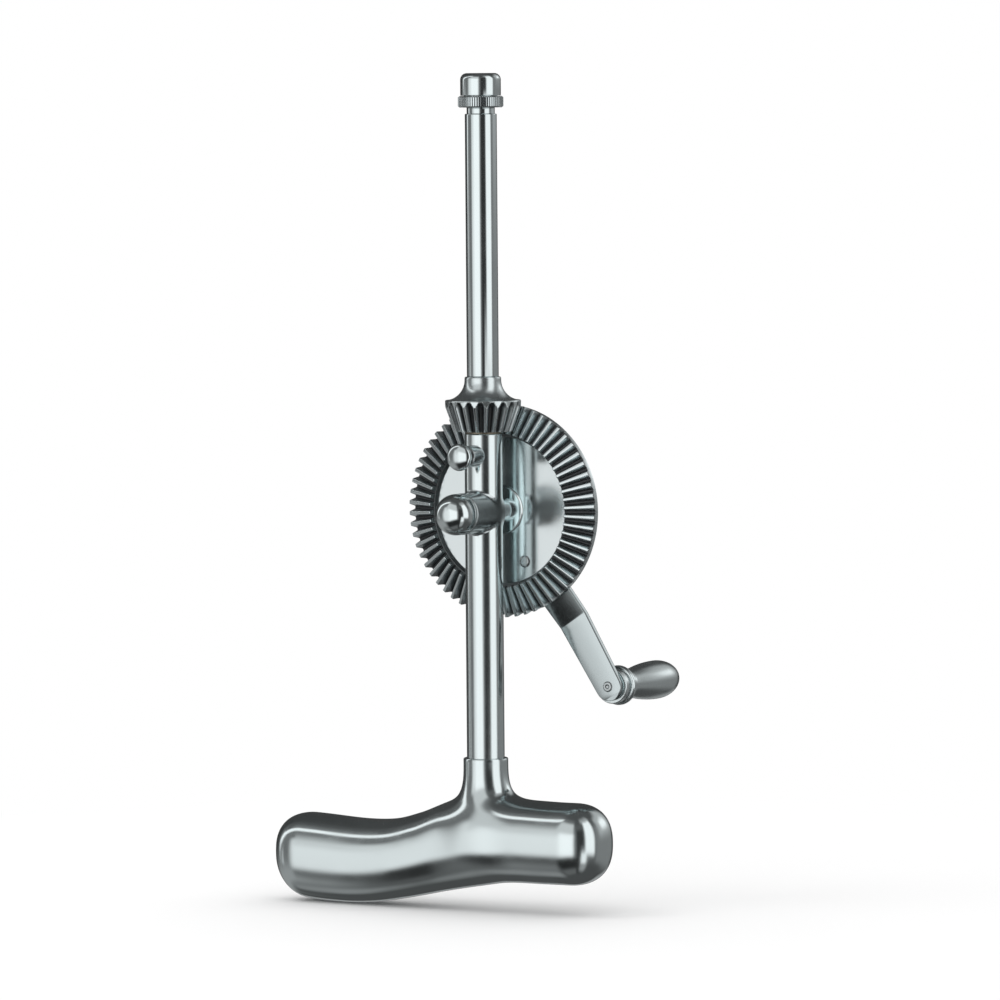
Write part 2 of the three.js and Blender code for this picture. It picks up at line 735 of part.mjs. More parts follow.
// The crank arm points to -Z here, and its group turns it.
function crankArm() {
  const front = [
    [-ARM_HUB_HALF - OVERRUN, webRearY],
    [ARM_BEND_START, webRearY],
    [ARM_BEND_END, ARM_END_Y],
    [CRANK_RADIUS + ARM_END_HALF + OVERRUN, ARM_END_Y],
  ];
  const rear = front.map(([l, y]) => [l, y + ARM_THICKNESS]).reverse();
  const slab = extruded([...front, ...rear], 2 * (ARM_HUB_HALF + OVERRUN));
  // length, thickness and width become -Z, Y and X
  const bar = solidOf(
    slab.applyMatrix4(
      new THREE.Matrix4().makeBasis(
        new THREE.Vector3(0, 0, -1),
        new THREE.Vector3(0, 1, 0),
        new THREE.Vector3(1, 0, 0),
      ),
    ),
  ).translate([-ARM_HUB_HALF - OVERRUN, 0, 0]);
  const lean = Math.asin((ARM_HUB_HALF - ARM_END_HALF) / CRANK_RADIUS);
  const outline = [
    ...arcPoints([0, 0], [ARM_HUB_HALF, ARM_HUB_HALF], lean, Math.PI - lean, 12),
    ...arcPoints(
      [0, -CRANK_RADIUS],
      [ARM_END_HALF, ARM_END_HALF],
      Math.PI - lean,
      TAU + lean,
      14,
    ),
  ];
  const plan = solidOf(
    extruded(outline, ARM_END_Y + ARM_THICKNESS + 2 * OVERRUN).rotateX(Math.PI / 2),
  ).translate([0, ARM_END_Y + ARM_THICKNESS + OVERRUN, 0]);
  const hole = (r, x, z) => moved(turnedY(rodPoints(r, 0, armEndRearY + OVERRUN), SMALL), x, 0, z);
  return bar
    .intersect(plan)
    .subtract(hole(AXLE_R + FIT, 0, 0))
    .subtract(hole(ARM_RIVET_R + FIT, ARM_RIVET_OFFSET, -ARM_RIVET_AT))
    .subtract(hole(PIN_SHANK_R + FIT, 0, -CRANK_RADIUS));
}

function armRivet() {
  const headY = armRearY + FIT;
  return turnedY(
    [
      [0, WEB_FRONT_Y],
      [ARM_RIVET_R, WEB_FRONT_Y],
      [ARM_RIVET_R, headY],
      [ARM_RIVET_HEAD_R, headY],
      ...arcPoints(
        [0, headY],
        [ARM_RIVET_HEAD_R, ARM_RIVET_HEAD_HEIGHT],
        Math.PI / 12,
        Math.PI / 2,
        4,
      ).slice(0, -1),
      [0, headY + ARM_RIVET_HEAD_HEIGHT],
    ],
    SMALL,
  );
}

// Crank knob on its pin. These start at the rear of the arm.
const knobStart = END_PLAY;
const pinShoulder = FIT / 2;
const eggAt = KNOB_LENGTH - KNOB_NOSE_LENGTH;
const plugAt = KNOB_LENGTH - KNOB_PLUG_LENGTH;
const pinHeadAt = plugAt - SEAT - PIN_HEAD_HEIGHT;
const counterboreAt = pinHeadAt - SEAT;

function knobPin() {
  return turnedY(
    [
      [0, -ARM_THICKNESS],
      [PIN_SHANK_R, -ARM_THICKNESS],
      [PIN_SHANK_R, pinShoulder],
      [PIN_R, pinShoulder],
      [PIN_R, pinHeadAt],
      [PIN_HEAD_R, pinHeadAt],
      [PIN_HEAD_R, pinHeadAt + PIN_HEAD_HEIGHT],
      [0, pinHeadAt + PIN_HEAD_HEIGHT],
    ],
    SMALL,
  );
}

// The knob's outline from its waist to its end, as [radius, distance from the arm].
function eggPoints() {
  const swell = Array.from({ length: 5 }, (_, i) => {
    const t = i / 5;
    const ease = (1 - Math.cos(Math.PI * t)) / 2;
    return [
      KNOB_WAIST_R + (KNOB_EGG_R - KNOB_WAIST_R) * ease,
      KNOB_WAIST_AT + (eggAt - KNOB_WAIST_AT) * t,
    ];
  });
  const nose = arcPoints(
    [0, eggAt],
    [KNOB_EGG_R, KNOB_NOSE_LENGTH],
    0,
    Math.PI / 2,
    7,
  );
  return [...swell, ...nose.slice(0, -1), [0, KNOB_LENGTH]];
}

function crankKnobs() {
  const ringEnd = knobStart + KNOB_RING_LENGTH;
  const grooveEnd = ringEnd + KNOB_GROOVE_LENGTH;
  const beadEnd = grooveEnd + KNOB_BEAD_LENGTH;
  const soften = FIT + FIT;
  const whole = turnedY(
    [
      [0, knobStart],
      [KNOB_RING_R - soften, knobStart],
      [KNOB_RING_R, knobStart + soften],
      [KNOB_RING_R, ringEnd - soften],
      [KNOB_GROOVE_R, ringEnd],
      [KNOB_GROOVE_R, grooveEnd],
      [KNOB_BEAD_R - soften, grooveEnd + soften],
      [KNOB_BEAD_R, (grooveEnd + beadEnd) / 2],
      [KNOB_BEAD_R - soften, beadEnd - soften],
      [(KNOB_BEAD_R + KNOB_WAIST_R) / 2, beadEnd + soften],
      ...eggPoints(),
    ],
    FINE,
  );
  const bore = turnedY(rodPoints(PIN_R + FIT, -OVERRUN, plugAt), SMALL);
  const counterbore = turnedY(rodPoints(KNOB_PLUG_R, counterboreAt, KNOB_LENGTH + OVERRUN), SMALL);
  const plugBody = turnedY(rodPoints(KNOB_PLUG_R - FIT, plugAt, KNOB_LENGTH + OVERRUN), SMALL);
  return [whole.subtract(bore).subtract(counterbore), whole.intersect(plugBody)];
}

// Spindle and chuck
function spindle() {
  const shoulder = hubTopZ + FIT / 2;
  const [low, high] = [catchZ - GROOVE_WIDTH / 2, catchZ + GROOVE_WIDTH / 2];
  const body = turnedZ(
    [
      [0, journalBottomZ],
      [JOURNAL_R - JOURNAL_CHAMFER, journalBottomZ],
      [JOURNAL_R, journalBottomZ + JOURNAL_CHAMFER],
      [JOURNAL_R, low],
      [GROOVE_R, low],
      [GROOVE_R, high],
      [JOURNAL_R, high],
      [JOURNAL_R, shoulder],
      [SPINDLE_R, shoulder],
      [SPINDLE_R, spindleTopZ],
      [NOSE_R, spindleTopZ],
      [NOSE_R, noseTopZ - NOSE_CHAMFER],
      [NOSE_R - NOSE_CHAMFER * Math.tan(CHUCK_CONE), noseTopZ],
      [WIRE_BORE_R, noseTopZ],
      [WIRE_BORE_R, noseTopZ - WIRE_BORE_DEPTH],
      [0, noseTopZ - WIRE_BORE_DEPTH - WIRE_BORE_R],
    ],
    ROUND,
  );
  const dowelHole = turnedY(rodPoints(DOWEL_R + FIT, PINION_HUB_R - DOWEL_LENGTH, SPINDLE_R), SMALL);
  return body.subtract(moved(dowelHole, 0, 0, hubTopZ - DOWEL_DROP));
}

function dowel() {
  const outer = PINION_HUB_R;
  return turnedY(rodPoints(DOWEL_R, outer - DOWEL_LENGTH + FIT, outer), SMALL);
}

const shoulderZ = chuckTopZ - CAP_HEIGHT;
const ringTopZ = shoulderZ - END_PLAY;
const ringBottomZ = shoulderZ - KNURL_HEIGHT;
const ringTravel = THREAD_PITCH * RING_TURNS;
const jawTravel = ringTravel * Math.tan(CHUCK_CONE);
const noseBoreR = NOSE_R + FIT;
const jawBottomZ = noseTopZ + END_PLAY;
const jawFootTopZ = jawBottomZ + JAW_FOOT_HEIGHT;
const jawFootR = noseBoreR - SEAT;
// the cap's cone starts level with the top of the jaws' feet and keeps the same gap to them
const coneBottomZ = jawFootTopZ + SEAT;
const mouthBottomZ = coneBottomZ + (noseBoreR - MOUTH_R) / Math.tan(CHUCK_CONE);
const jawTipR = MOUTH_R - SEAT;
const jawTipStartZ = jawFootTopZ + (jawFootR - jawTipR) / Math.tan(CHUCK_CONE);
const jawTopZ = chuckTopZ - JAW_RECESS - ringTravel;
// the lip at the foot of the cap's skirt is caught under the ring's own lip
const skirtLipTopZ = ringTopZ - RING_LIP_HEIGHT - END_PLAY;
const skirtBottomZ = skirtLipTopZ - SKIRT_LIP_HEIGHT;

function chuckCap() {
  const roundR = CAP_OUTER_R - CAP_ROUND;
  return turnedZ(
    [
      [noseBoreR, skirtBottomZ],
      [SKIRT_LIP_R, skirtBottomZ],
      [SKIRT_LIP_R, skirtLipTopZ],
      [SKIRT_R, skirtLipTopZ],
      [SKIRT_R, shoulderZ],
      [CAP_OUTER_R, shoulderZ],
      ...arcPoints([roundR, chuckTopZ - CAP_ROUND], [CAP_ROUND, CAP_ROUND], 0, Math.PI / 2, 4),
      [MOUTH_R, chuckTopZ],
      [MOUTH_R, mouthBottomZ],
      [noseBoreR, coneBottomZ],
      [noseBoreR, skirtBottomZ],
    ],
    ROUND,
  );
}

// The knurled ring, which is threaded on the nose below the cap's skirt.
function chuckRing() {
  const grooveR = SKIRT_LIP_R + FIT;
  const lipR = SKIRT_R + FIT;
  return turnedZ(
    [
      [noseBoreR, ringBottomZ],
      [KNURL_R - KNURL_CHAMFER, ringBottomZ],
      [KNURL_R, ringBottomZ + KNURL_CHAMFER],
      [KNURL_R, ringTopZ - KNURL_CHAMFER],
      [KNURL_R - KNURL_CHAMFER, ringTopZ],
      [lipR, ringTopZ],
      [lipR, skirtLipTopZ + END_PLAY],
      [grooveR, skirtLipTopZ + END_PLAY],
      [grooveR, skirtBottomZ - END_PLAY],
      [noseBoreR, skirtBottomZ - END_PLAY],
      [noseBoreR, ringBottomZ],
    ],
    ROUND,
  );
}

// One jaw, a wedge whose flat sides pass its neighbours as the three close in.
function jaw() {
  const envelope = turnedZ(
    [
      [0, jawBottomZ],
      [jawFootR, jawBottomZ],
      [jawFootR, jawFootTopZ],
      [jawTipR, jawTipStartZ],
      [jawTipR, jawTopZ],
      [0, jawTopZ],
    ],
    ROUND,
  );
  const half = Math.PI / JAWS;
  const edge = jawTravel + JAW_SPARE / Math.sin(half);
  const reach = 2 * jawFootR;
  const wedge = solidOf(
    extruded(
      [
        [edge, 0],
        [edge + reach * Math.cos(half), reach * Math.sin(half)],
        [edge + reach, reach * Math.sin(half)],
        [edge + reach, -reach * Math.sin(half)],
        [edge + reach * Math.cos(half), -reach * Math.sin(half)],
      ],
      jawTopZ - jawBottomZ + 2 * OVERRUN,
    ),
  );
  const mouth = turnedZ(rodPoints(edge + JAW_SPARE, jawBottomZ - OVERRUN, jawTopZ + OVERRUN), SMALL);
  return envelope.intersect(moved(wedge, 0, 0, jawBottomZ - OVERRUN)).subtract(mouth);
}

// Materials
const finish = (color, roughness) => new THREE.MeshStandardMaterial({ color, roughness, metalness: 1 });
const polished = finish(0xd4d8da, 0.12);
const satin = finish(0xb9bec1, 0.34);
const machined = finish(0x9da3a7, 0.28);
const bronze = finish(0xb08a4c, 0.35);
const springSteel = finish(0x6f757a, 0.4);

const drill = new THREE.Group();

function add(group, name, solid, material) {
  const mesh = new THREE.Mesh(geometryOf(solid), material);
  mesh.name = name;
  group.add(mesh);
  return mesh;
}

function groupAt(parent, x, y, z) {
  const group = new THREE.Group();
  group.position.set(x, y, z);
  parent.add(group);
  return group;
}

add(drill, "palm_handle", palmHandle(), polished);
add(drill, "frame_tube", frameTube(), polished);
add(drill, "spindle_bush", spindleBush(), bronze);
add(
  drill,
  "thrust_washer",
  turnedZ(ringPoints(JOURNAL_R + FIT, WASHER_R, tubeTopZ, washerTopZ), ROUND),
  bronze,
);

const axleLine = groupAt(drill, 0, 0, AXLE_Z);
add(axleLine, "axle_boss", axleBoss(), polished);
add(axleLine, "axle_bush", axleBush(), machined);
add(axleLine, "axle", axle(), machined);
add(
  axleLine,
  "axle_ring",
  turnedY(ringPoints(AXLE_R + FIT, RING_R, ringFrontY, ringRearY), ROUND),
  polished,
);
add(axleLine, "axle_cap", axleCap(), polished);
add(axleLine, "gear_hub", gearHub(), machined);
add(axleLine, "gear_wheel", gearWheel(), polished);

const armLine = groupAt(axleLine, 0, 0, 0);
armLine.rotation.y = -ARM_ANGLE;
add(armLine, "crank_arm", crankArm(), satin);
const rivetPlace = groupAt(armLine, ARM_RIVET_OFFSET, 0, -ARM_RIVET_AT);
add(rivetPlace, "arm_rivet", armRivet(), machined);
const knobPlace = groupAt(armLine, 0, armEndRearY, -CRANK_RADIUS);
add(knobPlace, "knob_pin", knobPin(), machined);
const [knobSolid, plugSolid] = crankKnobs();
add(knobPlace, "crank_knob", knobSolid, polished);
add(knobPlace, "knob_plug", plugSolid, polished);

const catchLine = groupAt(drill, 0, 0, catchZ);
add(catchLine, "catch_housing", catchHousing(), machined);
add(catchLine, "catch_plunger", plunger(), machined);
add(catchLine, "catch_knob", catchKnob(), polished);
add(catchLine, "catch_spring", catchSpring(), springSteel);

add(drill, "spindle", spindle(), polished);
add(groupAt(drill, 0, 0, AXLE_Z), "pinion", pinion(), polished);
add(groupAt(drill, 0, 0, hubTopZ - DOWEL_DROP), "pinion_dowel", dowel(), machined);

add(drill, "chuck_cap", chuckCap(), polished);
add(drill, "chuck_ring", chuckRing(), polished);
for (let i = 0; i < JAWS; i++) {
  const place = groupAt(drill, 0, 0, 0);
  place.rotation.z = (i * TAU) / JAWS;
  add(place, `chuck_jaw_${i + 1}`, jaw(), machined);
}

export default drill;
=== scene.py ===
# A small plated hand drill with a T-shaped palm handle and an open bevel gear, in its studio.
# Metres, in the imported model's frame: +Z up the spindle, +Y along the axle to the gear's side.
import math

import bmesh
import bpy
import numpy as np
from mathutils import Matrix, Vector


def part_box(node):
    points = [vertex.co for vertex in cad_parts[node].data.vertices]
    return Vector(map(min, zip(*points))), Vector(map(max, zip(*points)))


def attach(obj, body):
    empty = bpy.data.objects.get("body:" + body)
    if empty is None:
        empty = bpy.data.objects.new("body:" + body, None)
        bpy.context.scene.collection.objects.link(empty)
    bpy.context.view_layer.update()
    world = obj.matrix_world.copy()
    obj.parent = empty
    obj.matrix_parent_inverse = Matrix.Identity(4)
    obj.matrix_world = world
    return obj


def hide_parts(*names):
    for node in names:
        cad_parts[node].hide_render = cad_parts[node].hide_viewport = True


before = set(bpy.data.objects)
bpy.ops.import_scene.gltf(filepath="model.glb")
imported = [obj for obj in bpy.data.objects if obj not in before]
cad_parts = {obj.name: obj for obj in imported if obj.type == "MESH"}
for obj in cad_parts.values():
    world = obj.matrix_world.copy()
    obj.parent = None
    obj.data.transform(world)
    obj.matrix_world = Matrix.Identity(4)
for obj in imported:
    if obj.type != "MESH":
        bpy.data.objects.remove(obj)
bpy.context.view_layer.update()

MM = 0.001
TAU = 2 * math.pi
TINY = 1e-9


def span(node, axis):
    """Lowest and highest value of a node along one axis, in millimetres."""
    low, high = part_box(node)
    return low["xyz".index(axis)] / MM, high["xyz".index(axis)] / MM


# Sizes in millimetres, first those of the solids that several pieces share
AXLE_Z = sum(span("axle", "z")) / 2
CATCH_Z = sum(span("catch_knob", "z")) / 2
TUBE_R = span("frame_tube", "x")[1]
TUBE_TOP = span("frame_tube", "z")[1]
TUBE_WALL = 1.6
FLOOR_Z = span("palm_handle", "z")[0]
# Lines to turn pieces about: an axis and a place on it
SPINDLE_LINE = ("Z", (0, 0, 0))
AXLE_LINE = ("Y", (0, 0, AXLE_Z))
CATCH_LINE = ("Y", (0, 0, CATCH_Z))

# Palm handle
HANDLE_LEFT = 82
HANDLE_RIGHT = 47
HANDLE_CAP = 13
HANDLE_HALF_DEPTH = 12.6
HANDLE_ROUNDNESS = 2.4
HANDLE_HEIGHT = 30
HANDLE_VOXEL = 0.75
COLLAR_R = 7.6
COLLAR_TOP = span("palm_handle", "z")[1]
COLLAR_CHAMFER = 0.45
COLLAR_BLEND = 13.5
COLLAR_ROOT = 14
COLLAR_FOOT = 10
SOCKET_R = TUBE_R + 0.1
SOCKET_DEPTH = 4
# Height of the top and the underside along the handle, as shares of its length and height
HANDLE_TOP = [
    (-1, 0.74), (-0.8, 0.715), (-0.58, 0.683), (-0.43, 0.707), (-0.3, 0.8),
    (-0.16, 0.93), (0.2, 0.987), (0.62, 0.98), (1, 0.985),
]
HANDLE_UNDER = [
    (-1, -0.16), (-0.87, -0.253), (-0.68, -0.283), (-0.53, -0.263), (-0.37, -0.193),
    (-0.18, -0.087), (0, 0), (0.21, 0.047), (0.53, 0.055), (1, 0.06),
]

# Boss, blended into a stub that stays hidden just inside the tube's skin
BOSS_R = span("axle_boss", "x")[1]
BOSS_FRONT, BOSS_REAR = span("axle_boss", "y")
BOSS_BLEND = 1.6
BOSS_HALF = 10.5
BOSS_EDGE = 0.5
BOSS_VOXEL = 0.42
HIDDEN = 0.04

# Bores for the axle and the spindle's journal, and how full the dome of the axle's cap is
AXLE_BORE_R = 2.6
JOURNAL_BORE_R = 3.6
DOME_EXPONENT = 2.5

# Bevel gears, about the point where their axes meet
MODULE = 1.21
GEAR_TEETH = 60
PINION_TEETH = 20
FACE_WIDTH = 10.5
GEAR_ROOT = -1.7
GEAR_TIP = 1.0
PINION_ROOT = -1.5
PINION_TIP = 0.9
GEAR_R = MODULE * GEAR_TEETH / 2
PINION_R = MODULE * PINION_TEETH / 2
CONE = math.hypot(GEAR_R, PINION_R)
INNER_SHARE = 1 - FACE_WIDTH / CONE
COS_PINION = GEAR_R / CONE
SIN_PINION = PINION_R / CONE
# Half of a tooth across its land, tip rounding, flank and root, as (half width, height)
GEAR_FLANK = [
    (0, 1.0), (0.48, 1.0), (0.58, 0.95), (0.68, 0.75), (0.92, 0.02), (1.2, -0.9), (1.4, -1.45),
    (1.5, -1.64), (1.64, -1.7),
]
PINION_FLANK = [
    (0, 0.9), (0.25, 0.9), (0.34, 0.84), (0.52, 0.6), (0.84, 0.05), (1.08, -0.7), (1.22, -1.22),
    (1.36, -1.44), (1.52, -1.5),
]
# The gear's web and rim
WEB_FRONT = 11.5
WEB_REAR = 13.7
WEB_MIDDLE_R = 12
WEB_RADIUS = 25.2
WEB_EDGE_R = WEB_RADIUS - 0.2
WEB_FILLET = 0.25
RIM_REAR = 16.2
RIM_EDGE = 0.8
SPIGOT_R = 3.6
TOOTH_CHAMFER = 0.14
# Where a gear tooth's face is drawn, as shares of the way from the axes' meeting point to its outer end
TOOTH_SHARES = (INNER_SHARE + 0.004, 0.86, 0.996)
# Painted shade in hollows: how much the wall round the web gets, and the gain and power over a tooth gap's
# depth
WALL_SHADE = 0.9
GEAR_SHADE = (1.1, 3)
PINION_SHADE = (1.5, 1.6)
# The pinion's brim, where the tooth gaps run out in arches, and its flared hub
PINION_OUTER_R = 12.85
PINION_BACK_R = 8
RUNOUT_START = 35.4
RUNOUT_RISE = 2.4
PINION_HUB_R = 6.2
PINION_BORE_R = 3.6
PINION_SETBACK = 1.0
FLARE_HEIGHT = 6.9
HUB_LAND = 1.0
HUB_TOP = 172.8

# Crank arm, and the rivet that drives it
ARM_ANGLE = math.radians(31.7)
CRANK_RADIUS = 70
ARM_THICKNESS = 2.3
ARM_HUB_HALF = 6.8
ARM_END_HALF = 4.95
ARM_BEND_START = 22.6
ARM_BEND_END = 44.2
ARM_END_Y = 19.3
ARM_EDGE = 0.45
ARM_RIVET_AT = 19.55
ARM_RIVET_OFFSET = -1.3

# Chuck. A knurl's outline is in shares of half its width and of its depth. The depth share is also the
# painted shade that the groove gets.
KNURLS = 56
KNURL_DEPTH = 0.35
KNURL_OUTLINE = ((-1, 1), (-0.8, 0.75), (-0.55, 0.08), (0, 0), (0.55, 0.08), (0.8, 0.75), (1, 1))
THREAD_BORE_R = 4.87
NOSE_R = 4.77
NOSE_Z = 261.6

# Turned outlines, as (radius, height, rounding) from one end of the piece
AXLE_HEAD = [
    (2.5, -1.9), (4.6, -1.9, 0.2), (4.6, -0.9, 0.4), (3.7, 0, 0.3), (1.2, 0, 0.3), (0.7, -0.5, 0.2),
    (0, -0.6),
]
DRIVE_RIVET_FRONT = [(0, -0.55), (1.5, -0.5, 0.5), (2.1, -0.1, 0.25), (2.1, 0.3)]
KNOB_PIN_FRONT = [
    (0, -0.05), (0.45, -0.1, 0.1), (0.85, -0.4, 0.2), (1.4, -0.38, 0.2), (1.8, -0.1, 0.15), (1.85, 0.2),
]
KNOB_PIN_REAR = [(2.4, -1.6), (3.1, -1.6), (3.1, 0), (0, 0)]
KNOB_NECK = [
    (2.5, 0), (5.8, 0, 0.2), (6.0, 0.3, 0.2), (6.0, 2.2, 0.25), (5.15, 2.45, 0.15), (5.1, 3.5, 0.15),
    (6.4, 3.75, 0.3), (6.75, 4.4, 0.4), (6.75, 5.3, 0.4), (6.35, 6.0, 0.4), (5.3, 6.9, 1.0),
]

# Camera: how far it stands to the right of the front, how high, and how far the picture is turned
VIEW_TURN = math.radians(31)
VIEW_RISE = math.radians(3.3)
VIEW_ROLL = math.radians(-0.45)
VIEW_LENS = 252
VIEW_SENSOR = 36
PICTURE_PIXELS = 1000
PIXEL = 0.3386
AIM_Z = 131
AIM_SHIFT = 16.2 * PIXEL


# Meshes

def new_object(name, data):
    thing = bpy.data.objects.new(name, data)
    bpy.context.scene.collection.objects.link(thing)
    return thing


def opened(mesh):
    """A mesh as a bmesh, to be worked on."""
    bm = bmesh.new()
    bm.from_mesh(mesh)
    return bm


def written(bm, mesh):
    """Puts a bmesh into a mesh, and frees it."""
    bm.to_mesh(mesh)
    bm.free()
    return mesh


def faced_outward(mesh):
    bm = opened(mesh)
    bmesh.ops.recalc_face_normals(bm, faces=bm.faces)
    return written(bm, mesh)


def shaded(mesh, sharp):
    """Smooth shading, with creases where faces meet at more than so many degrees."""
    mesh.polygons.foreach_set("use_smooth", [True] * len(mesh.polygons))
    mesh.set_sharp_from_angle(angle=math.radians(sharp))


def finish_object(name, mesh, body, material, node, sharp=35):
    """A piece in a CAD node's place, from a mesh in millimetres. With sharp None its normals stay."""
    mesh.transform(Matrix.Diagonal((MM, MM, MM, 1)))
    if sharp is not None:
        faced_outward(mesh)
        shaded(mesh, sharp)
    mesh.materials.clear()
    mesh.materials.append(material)
    piece = new_object(name, mesh)
    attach(piece, body)
    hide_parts(node)
    return piece


def mesh_from(name, points, faces):
    mesh = bpy.data.meshes.new(name)
    mesh.from_pydata([tuple(p) for p in points], [], faces)
    mesh.validate()
    return mesh


def tube_of_rings(name, points, size):
    """A mesh through rings of so many points each, closed at both ends."""
    rings = len(points) // size
    faces = []
    for i in range(rings - 1):
        for k in range(size):
            n = (k + 1) % size
            faces.append([i * size + k, i * size + n, (i + 1) * size + n, (i + 1) * size + k])
    faces.append(list(range(size)))
    faces.append([(rings - 1) * size + k for k in range(size)])
    return mesh_from(name, points, faces)


def evaluated(shape):
    """An object's mesh with its modifiers applied. The object goes."""
    bpy.context.view_layer.update()
    mesh = bpy.data.meshes.new_from_object(shape.evaluated_get(bpy.context.evaluated_depsgraph_get()))
    bpy.data.objects.remove(shape)
    return mesh


def softened(corners, steps=4):
    """An outline whose corners (r, h, rounding) are turned into arcs, apart from the first and the last."""
    points = []
    last = len(corners) - 1
    for i, corner in enumerate(corners):
        r, h = corner[:2]
        rounding = corner[2] if len(corner) > 2 else 0
        if not rounding or i in (0, last):
            points.append((r, h))
            continue
        here = Vector((r, h))
        before = Vector(corners[i - 1][:2]) - here
        after = Vector(corners[i + 1][:2]) - here
        half = before.angle(after) / 2
        reach = rounding / math.tan(half)
        reach = min(reach, 0.49 * before.length, 0.49 * after.length)
        start = here + before.normalized() * reach
        end = here + after.normalized() * reach
        for k in range(steps + 1):
            t = k / steps
            weight = 2 * t * (1 - t) * math.sin(half) + TINY
            low, high = (1 - t) ** 2, t ** 2
            points.append(tuple((start * low + here * weight + end * high) / (low + weight + high)))
    return points


def arc(centre, radii, first, last, steps):
    """Points (r, h) along an ellipse from one angle to another, in degrees."""
    angles = np.radians(np.linspace(first, last, steps + 1))
    return [(centre[0] + radii[0] * math.cos(a), centre[1] + radii[1] * math.sin(a)) for a in angles]


def raised(outline, height):
    """A table of corners moved up to where its piece is."""
    return [(r, height + h, *rounding) for r, h, *rounding in outline]


def bored(corners):
    """An outline that comes back to its first corner, so that the piece has a bore."""
    return corners + corners[:1]


def turned_mesh(name, outline, line, facets=96):
    """A lathe-turned mesh from an outline (r, h) about a line."""
    along, at = line
    points, rings = [], []
    for r, h in outline:
        if r < 1e-6:
            rings.append([len(points)] * facets)
            points.append((0, 0, h))
            continue
        rings.append(list(range(len(points), len(points) + facets)))
        for k in range(facets):
            a = TAU * k / facets
            points.append((r * math.cos(a), r * math.sin(a), h))
    faces = []
    for low, high in zip(rings, rings[1:]):
        for k in range(facets):
            n = (k + 1) % facets
            corners = [low[k], low[n], high[n], high[k]]
            faces.append([c for i, c in enumerate(corners) if c not in corners[:i]])
    mesh = mesh_from(name, points, [f for f in faces if len(f) > 2])
    if along == "Y":
        mesh.transform(Matrix(((1, 0, 0, 0), (0, 0, 1, 0), (0, -1, 0, 0), (0, 0, 0, 1))))
    mesh.transform(Matrix.Translation(at))
    bm = opened(mesh)
    bmesh.ops.remove_doubles(bm, verts=bm.verts, dist=1e-5)
    return written(bm, mesh)


def turned(name, corners, line, body, material, node):
    """A turned piece with softened corners."""
    finish_object(name, turned_mesh(name, softened(corners), line), body, material, node)


# Materials

def add_node(tree, kind, given=None, **settings):
    """A node with its settings. given has its inputs, each as a value or as the socket that feeds it."""
    node = tree.nodes.new(kind)
    for key, value in settings.items():
        setattr(node, key, value)
    for name, value in (given or {}).items():
        if isinstance(value, bpy.types.NodeSocket):
            tree.links.new(value, node.inputs[name])
        else:
            node.inputs[name].default_value = value
    return node


def maths(tree, operation, a, b=None, clamp=False):
    given = {0: a} if b is None else {0: a, 1: b}
    return add_node(tree, "ShaderNodeMath", given, operation=operation, use_clamp=clamp).outputs[0]


def mixed(tree, factor, a, b, kind="FLOAT"):
    given = {"Factor": factor, "A": a, "B": b}
    return add_node(tree, "ShaderNodeMix", given, data_type=kind).outputs["Result"]


def new_group(name, kind, inputs, outputs):
    """An empty node group with its sockets, each as (name, kind)."""
    group = bpy.data.node_groups.new(name, kind)
    for way, sockets in (("INPUT", inputs), ("OUTPUT", outputs)):
        for socket, value in sockets:
            group.interface.new_socket(name=socket, in_out=way, socket_type=f"NodeSocket{value}")
    return group


def floats(*names):
    return [(name, "Float") for name in names]


# Marks on the metal. The relief is in metres.
NOISE_MIDDLE = 0.5
CLEAN_BELOW = 0.42
SCRATCH_ROUGHNESS = 0.5
TONE_SHARE = 0.94
HOLLOW_ROUGHNESS = 0.25
RELIEF = 0.00002


def polish_group():
    """Marks of polishing and handling: a slight waviness, hairline scratches and a haze of wear."""
    inputs = floats("Waviness", "Scratches", "Haze")
    group = new_group("polish_marks", "ShaderNodeTree", inputs, floats("Rough", "Height", "Tone"))
    given = group.nodes.new("NodeGroupInput").outputs
    place = group.nodes.new("ShaderNodeTexCoord").outputs["Object"]
    wave = add_node(group, "ShaderNodeTexNoise", {"Vector": place, "Scale": 90, "Detail": 1})
    drawn_out = {"Vector": place, "Rotation": (0.5, 0.35, 0.2), "Scale": (4200, 4200, 160)}
    hair = add_node(group, "ShaderNodeMapping", drawn_out).outputs["Vector"]
    line = add_node(group, "ShaderNodeTexNoise", {"Vector": hair, "Scale": 1, "Detail": 2})
    clouds = {"Vector": place, "Scale": 55, "Detail": 4, "Roughness": 0.6}
    haze = add_node(group, "ShaderNodeTexNoise", clouds)
    scratch = maths(group, "SUBTRACT", line.outputs["Fac"], NOISE_MIDDLE)
    scratch = maths(group, "MULTIPLY", scratch, given["Scratches"])
    wavy = maths(group, "MULTIPLY", wave.outputs["Fac"], given["Waviness"])
    worn = maths(group, "SUBTRACT", haze.outputs["Fac"], CLEAN_BELOW, clamp=True)
    worn = maths(group, "MULTIPLY", worn, given["Haze"])
    scratched = maths(group, "MULTIPLY", maths(group, "ABSOLUTE", scratch), SCRATCH_ROUGHNESS)
    add_node(group, "NodeGroupOutput", {
        "Rough": maths(group, "ADD", worn, scratched),
        "Height": maths(group, "ADD", scratch, wavy),
        "Tone": haze.outputs["Fac"],
    })
    return group


POLISH_MARKS = polish_group()


